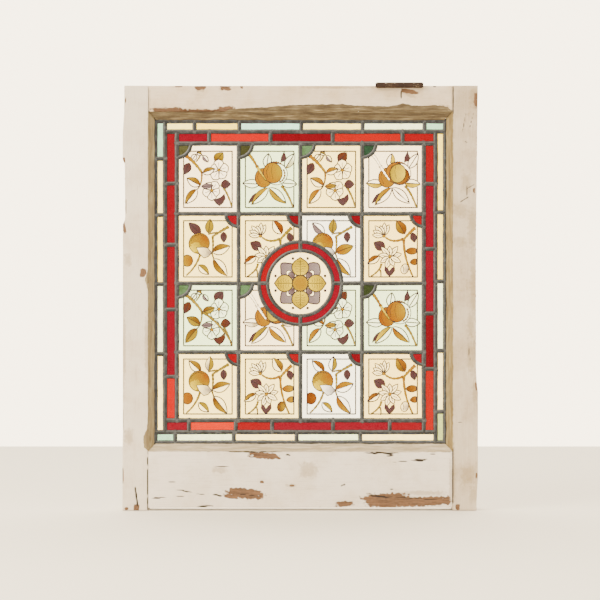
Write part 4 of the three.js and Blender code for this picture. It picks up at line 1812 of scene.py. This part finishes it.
def star_flower(p: Palette) -> list[Figure]:
    """Draws an open star-shaped flower with a bud above it, on a stem from the upper right.

    Args:
        p: Its paints.

    Returns:
        The figures, from back to front.
    """
    heart = [
        (-5.7, -37.5), (-9, -32.5), (-13, -29), (-13.5, -36), (-10, -42), (-5.7, -45.5), (-1, -42), (3, -36),
        (2.5, -29.5), (-2, -32.5),
    ]  # fmt: skip
    cut = 38.8
    side_leaf = [(min(cut, x), z) for x, z in blade((21, -4.5), (44, -3.5), 11)]
    low_leaf = [(min(cut, x), z) for x, z in blade((28, -23), (46, -20.5), 10)]
    return [
        stem(((18, 16), (17, -14), (33, -46)), 3.4, p.fruit),
        stem(((-19, -25), (-20, -36), (-36.5, -46)), 2.8, GREEN_TWIG),
        stem(((-21, -35), (-19, -40), (-20, -47)), 2.0, GREEN_TWIG),
        *leaf((20, 24), (6, 46.5), 16.5, p.top, p.second),
        *leaf((32, 26), (36, 10), 10.5, p.third, p.third),
        *leaf((-13, 0), (-31.5, 10), 16, p.third, p.third),
        *leaf((-22, -12.5), (-42, -25), 12, CLEAR, p.second),
        Figure(side_leaf, p.first[1], p.first[0]),
        Figure(low_leaf, p.first[1], p.first[0]),
        *flower(-14.8, 20.5, 20.5, 6, 66, 0.38, 1.1, 108),
        *flower(-4.9, -13, 19.5, 9, 12, 0.44, 1.0),
        Figure(heart, p.third[0], p.third[1]),
        Figure(ellipse(19.4, -33.5, 6.4, 8.3, -15), p.fourth[0], p.fourth[1]),
        stroke([(16, -28), (18, -34), (17, -39)], 0.5),
        stem(((17, 16), (0, 8), (-12, 18.5)), 3.4, p.fruit),
        stem(((36.5, 34), (28, 27), (17, 14)), 4.8, p.fruit),
    ]


def rose() -> list[Figure]:
    """Draws the roundel's formal flower: four grey petals, four yellow leaves and a golden eye.

    Returns:
        The figures, from back to front.
    """
    out = []
    for sx, sz in ((1, 1), (-1, 1), (-1, -1), (1, -1)):
        petal = []
        for k in range(32):
            t = k / 32 * math.tau
            c, s = math.cos(t), math.sin(t)
            reach = 10.6 / (c**4 + s**4) ** 0.25 * (1 + 0.05 * math.sin(3 * t + sx + 2 * sz))
            petal.append((sx * 22.0 + reach * c, sz * 23.0 + reach * s))
        out.append(Figure(petal, GREY, mixed(GREY, WHITE, 0.06), 0.95))
        out.append(Figure(ellipse(sx * 17.6, sz * 15.8, 6.0, 4.6, 45 * sx * sz), WHITE, WHITE, 0.6))
        out.append(Figure(ellipse(sx * 14.5, sz * 13.4, 5.6, 4.8, 45 * sx * sz), GREY, DUSK, 0.6))
    for k in range(4):
        c, s = math.cos(k * math.pi / 2), math.sin(k * math.pi / 2)
        leaf_outline = []
        for i in range(33):
            t = math.pi + (i / 32 - 0.5) * 2 * math.radians(180 - 33.7)
            leaf_outline.append(around(26, 0, 13.9, t))
        leaf_outline = leaf_outline[16:] + [(42.7, 0.0)] + leaf_outline[:16]
        turned = [(u * c - v * s, u * s + v * c) for u, v in leaf_outline]
        out.append(Figure(turned, LEMON, BUTTER, 0.8))
        out.append(stroke([(14 * c, 14 * s), (25 * c, 25 * s), (38 * c, 38 * s)], 0.5))
        for u in (19, 23, 27, 31, 35):
            for side in (-1, 1):
                reach = 9.5 - 0.5 * abs(u - 26)
                bow = [(u, 1.2 * side), (u + 1.2, reach * 0.55 * side), (u + 0.4, reach * side)]
                out.append(stroke([(a * c - b * s, a * s + b * c) for a, b in bow], 0.28))
        for side in (-1, 1):
            dot = around(0, 0, 42.5, math.radians(90 * k + 16.5 * side))
            out.append(Figure(ellipse(*dot, 1.7, 1.7, count=10), LINE, None, 0.6))
    scallop = []
    for k in range(96):
        turn = k / 96 * math.tau
        scallop.append(around(0, 0, 13.2 + 0.7 * math.cos(turn * 24), turn))
    out.append(Figure(scallop, YELLOW, None, 0.8))
    out.append(Figure(ellipse(0, 0, 9.6, 9.6, count=20), mixed(AMBER, LEMON, 0.45), None, 0))
    return out


BLOSSOM_GOLD = Palette(GOLD_LEAF, CLEAR, MAUVE_LEAF, (RUST, LEMON), (AMBER, LEMON), GREY_LEAF)
BLOSSOM_RUST = Palette((ORANGE, YELLOW), CLEAR, MAUVE_LEAF, (MAUVE, RUST), GOLD_TWIG, (AMBER, LEMON))
BLOSSOM_OLIVE = Palette((RUST, OLIVE), OLIVE_LEAF, (RUST, MAUVE), MAUVE_LEAF, GREEN_TWIG, GREY_LEAF)
FRUIT_YELLOW = Palette(
    (YELLOW, LEMON), CLEAR, (DUSK, MAUVE), CLEAR, (LEMON, AMBER), (YELLOW, LEMON), (LEMON, WHITE)
)
FRUIT_RED = Palette((OLIVE, BUTTER), CLEAR, MAUVE_LEAF, CLEAR, (YELLOW, ORANGE), (ORANGE, LEMON))
FRUIT_AMBER = Palette((AMBER, LEMON), CLEAR, MAUVE_LEAF, (YELLOW, BUTTER), (YELLOW, AMBER))
FRUIT_ORANGE = Palette((OLIVE, LEMON), CLEAR, (DUSK, MAUVE), (OLIVE, WHITE), (YELLOW, AMBER), (AMBER, YELLOW))
ORANGE_GOLD = Palette(
    GOLD_LEAF, OLIVE_LEAF, MAUVE_LEAF, MAUVE_LEAF, (ORANGE, YELLOW), CLEAR, OLIVE_LEAF, MAUVE_LEAF
)
ORANGE_PLAIN = Palette(
    (ORANGE, LEMON), OLIVE_LEAF, MAUVE_LEAF, GREY_LEAF, (ORANGE, YELLOW), (ORANGE, LEMON), OLIVE_LEAF
)
ORANGE_GREY = Palette(
    (ORANGE, YELLOW), OLIVE_LEAF, MAUVE_LEAF, CLEAR, (ORANGE, RUST), CLEAR, CLEAR, RUST_LEAF
)
ORANGE_RUST = Palette(
    GOLD_LEAF, OLIVE_LEAF, (DUSK, MAUVE), CLEAR, (ORANGE, AMBER), CLEAR, (GREY, WHITE), GOLD_LEAF
)
STAR_RUST = Palette((RUST, AMBER), (RUST, AMBER), MAUVE_LEAF, (WHITE, GREY), GOLD_TWIG, CLEAR, (RUST, YELLOW))
STAR_PALE = Palette((RUST, AMBER), (RUST, ORANGE), (DUSK, MAUVE), CLEAR, (OLIVE, LEMON))
STAR_GOLD = Palette((ORANGE, YELLOW), (RUST, YELLOW), MAUVE_LEAF, (RUST, YELLOW), GOLD_TWIG, CLEAR, CLEAR)
QUARRIES = (
    (
        (Tint.ROSE, blossom, BLOSSOM_GOLD), (Tint.SEA, pomegranate, FRUIT_YELLOW),
        (Tint.CREAM, blossom, BLOSSOM_RUST), (Tint.ROSE, pomegranate, FRUIT_AMBER),
    ),
    (
        (Tint.CREAM, orange, ORANGE_GOLD), (Tint.CREAM, star_flower, STAR_PALE),
        (Tint.COOL, orange, ORANGE_PLAIN), (Tint.STRAW, star_flower, STAR_RUST),
    ),
    (
        (Tint.SEA, blossom, BLOSSOM_OLIVE), (Tint.ROSE, pomegranate, FRUIT_ORANGE),
        (Tint.SEA, blossom, BLOSSOM_RUST), (Tint.SEA, pomegranate, FRUIT_RED),
    ),
    (
        (Tint.CREAM, orange, ORANGE_RUST), (Tint.CREAM, star_flower, STAR_GOLD),
        (Tint.COOL, orange, ORANGE_GREY), (Tint.STRAW, star_flower, STAR_RUST),
    ),
)  # fmt: skip


@dataclass
class PaintedPane:
    """A pane of painted glass: a thin slab whose front carries the figures as colours.

    Args:
        name: CAD node that it replaces.
        boundary: Outline of the glass.
        area: Painted key line round the figures.
        figures: Painted shapes, from back to front.
        tint: Colour of the glass.
        cell: Size of the squares that sort the lines.
        step: Spacing of the points between the lines.
    """

    name: str
    boundary: list[Point]
    area: Figure
    figures: list[Figure]
    tint: Colour
    cell: float = 5.0
    step: float = 3.0

    def __post_init__(self) -> None:
        """Keeps the boundary as a shape, and leaves the glass bare where a shape is clear."""
        self.ring = Figure(self.boundary)
        bare = tuple(math.sqrt(a * b) for a, b in zip(self.tint, mixed(self.tint, WHITE, 0.45)))
        for figure in self.figures:
            figure.fill = bare if figure.fill is WHITE else figure.fill
            figure.core = bare if figure.core is WHITE else figure.core

    def zone(self, x: float, z: float) -> int:
        """Finds the topmost figure at a place.

        Args:
            x: Place along X.
            z: Place along Z.

        Returns:
            Its number, or -1 on the ground.
        """
        for i in range(len(self.figures) - 1, -1, -1):
            if self.figures[i].fill is not None and self.figures[i].holds(x, z):
                return i
        return -1

    def shown(self, number: int, x: float, z: float) -> bool:
        """Tells whether a figure's line shows at a place.

        Args:
            number: Number of the figure, or -1 for the key line.
            x: Place along X.
            z: Place along Z.

        Returns:
            True where nothing later covers it.
        """
        if not self.ring.holds(x, z):
            return False
        return not any(f.fill is not None and f.holds(x, z) for f in self.figures[number + 1 :])

    def runs(self) -> list[tuple[list[Point], float]]:
        """Finds the painted lines that show.

        Returns:
            Points and half width of each.
        """
        out: list[tuple[list[Point], float]] = []
        for number, figure in [(-1, self.area), *enumerate(self.figures)]:
            if not figure.line:
                continue
            path = figure.outline + (figure.outline[:1] if figure.closed else [])
            run: list[Point] = []
            for a, b in zip(path, path[1:]):
                count = max(4, math.ceil(math.dist(a, b) / 2.5))
                parts = [between(a, b, k / count) for k in range(count + 1)]
                seen = [self.shown(number, *between(p, q, 0.5)) for p, q in zip(parts, parts[1:])]
                if all(seen):
                    parts, seen = [a, b], [True]
                for p, q, visible in zip(parts, parts[1:], seen):
                    if visible:
                        run = run or [p]
                        run.append(q)
                    elif run:
                        out.append((run, figure.line))
                        run = []
            if run:
                out.append((run, figure.line))
        return out

    def band(self, run: list[Point], offset: float) -> list[Point]:
        """Shifts a line sideways.

        Args:
            run: Its points.
            offset: Distance to the left.

        Returns:
            The shifted points.
        """
        closed = run[0] == run[-1] and len(run) > 3
        body = run[:-1] if closed else run
        out = []
        for k, (x, z) in enumerate(body):
            a = body[k - 1] if (k or closed) else body[k]
            b = body[(k + 1) % len(body)] if (k < len(body) - 1 or closed) else body[k]
            before, after = math.dist(a, (x, z)), math.dist((x, z), b)
            if before:
                before_x, before_z = (a[1] - z) / before, (x - a[0]) / before
            if after:
                after_x, after_z = (z - b[1]) / after, (b[0] - x) / after
            if not before:
                before_x, before_z = after_x, after_z
            if not after:
                after_x, after_z = before_x, before_z
            spread = max(1.0, 1 + before_x * after_x + before_z * after_z)
            across, up = offset * (before_x + after_x) / spread, offset * (before_z + after_z) / spread
            out.append((x + across, z + up))
        return out + out[:1] if closed else out

    def mesh(self, runs: list[tuple[list[Point], float]]) -> tuple[list[Vector], list[list[int]]]:
        """Triangulates the pane along the lines' edges.

        Args:
            runs: The lines.

        Returns:
            Points and triangles.
        """
        points = [Vector(p) for p in self.boundary]
        edges = [(i, (i + 1) % len(points)) for i in range(len(points))]
        for run, half in runs:
            for side in (1, -1):
                band = self.band(run, half * side)
                base = len(points)
                points += [Vector(p) for p in band]
                edges += [(base + k, base + k + 1) for k in range(len(band) - 1)]
        x0, z0, x1, z1 = self.ring.box
        clear = self.step / 2
        beside = ((clear, 0), (-clear, 0), (0, clear), (0, -clear))
        for i in range(1, int((x1 - x0) / self.step)):
            for j in range(1, int((z1 - z0) / self.step)):
                x, z = x0 + i * self.step, z0 + j * self.step
                if i % 3 and j % 3 and self.zone(x, z) < 0:
                    continue
                if all(self.ring.holds(x + a, z + b) for a, b in beside):
                    points.append(Vector((x + 0.3 * wobble(x, 0, z, 3), z + 0.3 * wobble(z, 0, x, 3))))
        verts, _, faces, _, _, _ = delaunay_2d_cdt(points, edges, [], 0, 1e-3)
        return verts, faces

    def skin(self, paint: Colour) -> Colour:
        """Finds what the front face must carry, as the light takes half its colour from each face."""
        return tuple(min(1.0, a * a / max(b, 0.01)) for a, b in zip(paint, self.tint))

    def squares(self, runs: list[tuple[list[Point], float]]) -> dict[tuple[int, int], list]:
        """Sorts the lines into squares, so that a place is compared with the near ones alone.

        Args:
            runs: The lines.

        Returns:
            Start, end and half width of each short piece, by square.
        """
        near: dict[tuple[int, int], list[tuple[Point, Point, float]]] = {}
        for a, b, half in ((a, b, half) for run, half in runs for a, b in zip(run, run[1:])):
            low = [int((min(a[i], b[i]) - 1) // self.cell) for i in (0, 1)]
            high = [int((max(a[i], b[i]) + 1) // self.cell) for i in (0, 1)]
            for gx in range(low[0], high[0] + 1):
                for gz in range(low[1], high[1] + 1):
                    near.setdefault((gx, gz), []).append((a, b, half))
        return near

    def build(self, material: bpy.types.Material) -> None:
        """Builds the pane.

        Args:
            material: Its glass.
        """
        runs = self.runs()
        verts, faces = self.mesh(runs)
        near = self.squares(runs)
        made = Builder(self.name.replace("_", "-") + "-pane")
        level = LAY.panel - LAY.glass_half
        seen: dict[tuple[int, int], int] = {}
        for face in faces:
            cx = sum(verts[i][0] for i in face) / len(face)
            cz = sum(verts[i][1] for i in face) / len(face)
            if not self.ring.holds(cx, cz):
                continue
            close = near.get((int(cx // self.cell), int(cz // self.cell)), ())
            dark = any(gap((cx, cz), a, b) < half * 0.98 for a, b, half in close)
            zone = -2 if dark else self.zone(cx, cz)
            corner_ids = []
            for i in face:
                if (i, zone) not in seen:
                    x, z = verts[i]
                    tone = self.tint
                    if zone >= 0:
                        tone = self.skin(self.figures[zone].tone(x, z))
                    elif dark:
                        tone = self.skin(LINE)
                    seen[(i, zone)] = made.add(x, level, z, tint=tone)
                corner_ids.append(seen[(i, zone)])
            made.faces.append(tuple(corner_ids))
        back_level = LAY.panel + LAY.glass_half
        front = [made.add(x, level, z, tint=self.tint) for x, z in self.boundary]
        back = [made.add(x, back_level, z, tint=self.tint) for x, z in self.boundary]
        made.loft([back, front], closed=False)
        made.faces.append(tuple(reversed(back)))
        pane = made.finish(material, "painted_glass", smooth=False)
        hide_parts(self.name)


def gap(point: Point, a: Point, b: Point) -> float:
    """Measures the distance from a point to a short line.

    Args:
        point: The point.
        a: Start of the line.
        b: End of the line.

    Returns:
        The distance.
    """
    dx, dz = b[0] - a[0], b[1] - a[1]
    along = ((point[0] - a[0]) * dx + (point[1] - a[1]) * dz) / ((dx * dx + dz * dz) or 1)
    return math.dist(point, between(a, b, min(1.0, max(0.0, along))))


@dataclass
class GlassWork:
    """Every piece of glass in the panel.

    Args:
        painted: Glass of the quarries and the roundel.
        pale: Glass of the outer border.
        red: Glass of the inner border, the ring and half of the corner pieces.
        green: Glass of the other corner pieces.
        key_left: Distance of a quarry's key line from the left of its square.
        key_right: The same from the right.
        key_low: The same from below.
        key_high: The same from above.
        key_high_first: The same from above in the top row.
    """

    painted: Glass = Glass("painted_quarry_glass", (30, 30), "#e9e4dc", 0.2)
    pale: Glass = Glass("pale_border_glass", (7, 9), "#d9dccb", 0.4)
    red: Glass = Glass("ruby_glass", (10, 10), "#d2808a", 0.3)
    green: Glass = Glass("green_corner_glass", (8, 8), "#b8b48a", 0.6)
    key_left: float = 11.2
    key_right: float = 10.6
    key_low: float = 10.4
    key_high: float = 11.4
    key_high_first: float = 12.8

    def slab(
        self, node: str, outlines: list[tuple[list[Point], Tint]], material: bpy.types.Material, slot: str
    ) -> None:
        """Builds flat pieces of glass as one object.

        Args:
            node: CAD node that it replaces.
            outlines: Outline and colour of each piece of glass.
            material: Its glass.
            slot: Material slot of the record.
        """
        made = Builder(node.replace("_", "-") + "-slab")
        depths = (LAY.panel + LAY.glass_half, LAY.panel - LAY.glass_half)
        for outline, tint in outlines:
            made.loft([[made.add(x, y, z, tint=linear(tint.value)) for x, z in outline] for y in depths])
        glass = made.finish(material, slot, smooth=False)
        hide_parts(node)

    def build(self) -> None:
        """Builds the panes."""
        painted, pale = self.painted.build(), self.pale.build()
        red, green = self.red.build(), self.green.build()
        for side, strip in BORDERS["clear"].items():
            self.slab(f"clear_border_{side}", self.cells(strip), pale, "clear_glass")
        for side, strip in BORDERS["red"].items():
            self.slab(f"red_border_{side}", self.cells(strip), red, "red_glass")
        for corner in corners():
            kind, material = ("green", green) if corner.side > 0 else ("red", red)
            name = f"{kind}_corner_r{corner.row + 1}c{corner.column + 1}"
            self.slab(name, [(self.quarter(corner), corner.tint)], material, f"{kind}_glass")
        for row in range(4):
            for column in range(4):
                self.quarry(row, column, painted)
        self.ring(red)
        self.roundel(painted)

    def cells(self, strip: Strip) -> list[tuple[list[Point], Tint]]:
        """Cuts a border strip into its glass.

        Args:
            strip: The strip.

        Returns:
            Outline and colour of each piece.
        """
        gap_width = LAY.inset
        out = []
        for (x0, z0), (x1, z1), tint in strip.cells():
            left, right, low, high = x0 + gap_width, x1 - gap_width, z0 + gap_width, z1 - gap_width
            out.append(([(left, low), (right, low), (right, high), (left, high)], tint))
        return out

    def quarter(self, corner: Corner) -> list[Point]:
        """Outlines a corner piece.

        Args:
            corner: The corner.

        Returns:
            Its outline.
        """
        inset, side = LAY.inset, corner.side
        radius = corner.radius - inset
        reach = math.sqrt(radius * radius - inset * inset)
        first, last = math.atan2(inset, reach), math.atan2(reach, inset)
        points = [(corner.x + side * inset, corner.z - inset)]
        for k in range(11):
            turn = first + (last - first) * k / 10
            points.append((corner.x + side * radius * math.cos(turn), corner.z - radius * math.sin(turn)))
        return points[::-1] if side > 0 else points

    def quarry(self, row: int, column: int, material: bpy.types.Material) -> None:
        """Builds one painted quarry.

        Args:
            row: Row from the top, from 0.
            column: Column from the left, from 0.
            material: Its glass.
        """
        x0, x1 = LAY.columns[column], LAY.columns[column + 1]
        z1, z0 = LAY.levels[row], LAY.levels[row + 1]
        cuts: list[tuple[float, float, float]] = []
        for corner in corners():
            if (corner.row, corner.column) == (row, column):
                cuts.append((corner.x, corner.z, corner.radius + LAY.inset))
        if row in (1, 2) and column in (1, 2):
            cuts.append((*LAY.centre, LAY.ring + LAY.inset))
        edge = LAY.inset
        boundary = trimmed((x0 + edge, z0 + edge), (x1 - edge, z1 - edge), cuts)
        left, right, low = x0 + self.key_left, x1 - self.key_right, z0 + self.key_low
        high = z1 - (self.key_high if row else self.key_high_first)
        area = Figure([(left, low), (right, low), (right, high), (left, high)], line=1.0)
        tint, motif, palette = QUARRIES[row][column]
        figures = [figure.moved((x0 + x1) / 2, (z0 + z1) / 2) for figure in motif(palette)]
        name = f"quarry_r{row + 1}c{column + 1}"
        PaintedPane(name, boundary, area, figures, linear(tint.value)).build(material)

    def ring(self, material: bpy.types.Material) -> None:
        """Builds the red ring round the roundel.

        Args:
            material: Its glass.
        """
        pieces = {
            "upper_right": (0, Tint.CRIMSON),
            "upper_left": (90, Tint.SCARLET),
            "lower_left": (180, Tint.RUBY),
            "lower_right": (270, Tint.CRIMSON),
        }
        near, far = LAY.roundel + LAY.inset, LAY.ring - LAY.inset
        for name, (start, tint) in pieces.items():
            outline: list[Point] = []
            for radius, order in ((far, 1), (near, -1)):
                slack = math.degrees(math.asin(LAY.inset / radius))
                turns = [start + slack + (90 - 2 * slack) * k / 14 for k in range(15)]
                outline += [around(*LAY.centre, radius, math.radians(turn)) for turn in turns[::order]]
            self.slab(f"red_ring_{name}", [(outline, tint)], material, "red_glass")

    def roundel(self, material: bpy.types.Material) -> None:
        """Builds the roundel with its flower.

        Args:
            material: Its glass.
        """
        radius = LAY.roundel - LAY.inset
        figures = [figure.moved(*LAY.centre) for figure in rose()]
        area = Figure(ellipse(*LAY.centre, 50.0, 50.0, count=60), line=0)
        boundary = ellipse(*LAY.centre, radius, radius, count=60)
        PaintedPane("roundel_glass", boundary, area, figures, linear(Tint.ROUNDEL.value)).build(material)


def trimmed(low: Point, high: Point, cuts: list[tuple[float, float, float]]) -> list[Point]:
    """Outlines a rectangle with round bites out of its corners.

    Args:
        low: Lower left corner.
        high: Upper right corner.
        cuts: Centre and radius of each bite.

    Returns:
        The outline, counter-clockwise.
    """
    (x0, z0), (x1, z1) = low, high
    outline: list[Point] = []
    for x, z in ((x0, z0), (x1, z0), (x1, z1), (x0, z1)):
        bite = next((c for c in cuts if math.hypot(x - c[0], z - c[1]) < c[2]), None)
        if bite is None:
            outline.append((x, z))
            continue
        bx, bz, radius = bite
        toward_x, toward_z = 1 if x == x0 else -1, 1 if z == z0 else -1
        on_level = (bx + toward_x * math.sqrt(radius**2 - (z - bz) ** 2), z)
        on_upright = (x, bz + toward_z * math.sqrt(radius**2 - (x - bx) ** 2))
        first = math.atan2(on_upright[1] - bz, on_upright[0] - bx)
        last = math.atan2(on_level[1] - bz, on_level[0] - bx)
        turn = (last - first + math.pi) % math.tau - math.pi
        count = 9 if radius < 40 else 18
        arc = [around(bx, bz, radius, first + turn * k / count) for k in range(count + 1)]
        outline += arc if (x, z) in ((x0, z0), (x1, z1)) else arc[::-1]
    return outline


# Hinge


@dataclass
class Hinge:
    """The rusted butt hinge, whose solids stay and get their finish."""

    barrel: RustyIron = RustyIron("rusty_hinge", ((139, 152), (184, 196)))
    plain: RustyIron = RustyIron("rusty_screws")

    def build(self) -> None:
        """Dresses the solids."""
        barrel, plain = self.barrel.build(), self.plain.build()
        for name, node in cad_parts.items():
            if not name.startswith("hinge"):
                continue
            node.data.materials.clear()
            node.data.materials.append(plain if "screw" in name else barrel)
            worn = node.modifiers.new("worn edges", "BEVEL")
            worn.width, worn.segments, worn.limit_method = 0.35 * MM, 2, "ANGLE"
            log.info("%s: dressed", name)


# Scene


@dataclass
class Studio:
    """Floor, lights, sky and camera.

    The light is warm, so the cool glass and the cream paint keep their own colours.

    Args:
        light: Colour of the lamps and the sky.
        lamps: Place of each lamp in metres, and its power in watts.
        lamp_size: Side of a lamp in metres.
        aim: Height that the lamps point at, in metres.
        reach: Half the floor's side in metres.
        lens: Focal length in millimetres.
        sensor: Width of the sensor in millimetres.
        view_width: Width of the view at the weather face, in millimetres.
        eye: Place of the camera along X and Z, in millimetres.
    """

    light: str = "#ffedce"
    lamps: tuple[tuple[float, float, float, float], ...] = ((-1.6, -1.4, 1.0, 76.0), (1.7, -1.5, 0.2, 20.0))
    lamp_size: float = 1.4
    aim: float = -0.35
    reach: float = 1.6
    lens: float = 135.0
    sensor: float = 36.0
    view_width: float = 984.0
    eye: Point = (-0.5, -351.6)

    def build(self) -> None:
        """Sets the scene."""
        self.floor()
        self.world()
        for *place, power in self.lamps:
            self.lamp(place, power)
        self.camera()

    def floor(self) -> None:
        """Lays a plain pale floor under the sash."""
        level, reach = (LAY.stile_bottom - 0.5) * MM, self.reach
        corner_places = [(-reach, -reach), (reach, -reach), (reach, reach), (-reach, reach)]
        mesh = bpy.data.meshes.new("floor")
        mesh.from_pydata([(x, y, level) for x, y in corner_places], [], [(0, 1, 2, 3)])
        floor = bpy.data.objects.new("floor", mesh)
        finish = Material("plain_floor")
        finish.set(Base_Color=linear("#f2f0ec"), Roughness=0.9)
        mesh.materials.append(finish.data)
        bpy.context.scene.collection.objects.link(floor)

    def world(self) -> None:
        """Makes a sky that is bright behind the glass and dim where the glass would mirror it."""
        world = bpy.data.worlds.new("soft sky")
        bpy.context.scene.world = world
        world.use_nodes = True
        nodes = Nodes(world.node_tree)
        direction = nodes.node("TexCoord").outputs["Generated"]
        depth = nodes.node("SeparateXYZ", i0=direction).outputs[1]
        front = nodes.steps(depth, -0.95, -0.72, 0.4, 2.2)
        behind = nodes.steps(depth, 0.35, 0.62, 0.0, 4.4)
        background = world.node_tree.nodes["Background"]
        nodes.join(background.inputs[0], linear(self.light))
        nodes.join(background.inputs[1], nodes.maths("ADD", front, behind))

    def lamp(self, place: list[float], power: float) -> None:
        """Adds a broad soft lamp aimed at the panel.

        Args:
            place: Where it hangs, in metres.
            power: Its power in watts.
        """
        data = bpy.data.lights.new("soft lamp", "AREA")
        data.energy, data.size = power, self.lamp_size
        data.color = linear(self.light)[:3]
        lamp = bpy.data.objects.new("soft lamp", data)
        lamp.location = place
        aim = Vector((0, 0, self.aim)) - Vector(place)
        lamp.rotation_mode = "QUATERNION"
        lamp.rotation_quaternion = aim.to_track_quat("-Z", "Y")
        bpy.context.scene.collection.objects.link(lamp)

    def camera(self) -> None:
        """Places a long lens square on to the sash."""
        data = bpy.data.cameras.new("camera")
        data.lens, data.sensor_width = self.lens, self.sensor
        distance = self.view_width * MM * self.lens / self.sensor
        camera = bpy.data.objects.new("camera", data)
        x, z = self.eye
        camera.location = (x * MM, LAY.front * MM - distance, z * MM)
        camera.rotation_euler = (math.pi / 2, 0, 0)
        bpy.context.scene.collection.objects.link(camera)
        bpy.context.scene.camera = camera


def main() -> None:
    """Builds every part in order."""
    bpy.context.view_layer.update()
    measure()
    for part in (Sash(), PuttyWork(), LeadWork(), GlassWork(), Hinge(), Studio()):
        log.info("building %s", type(part).__name__)
        part.build()


if __name__ == "__main__":
    main()
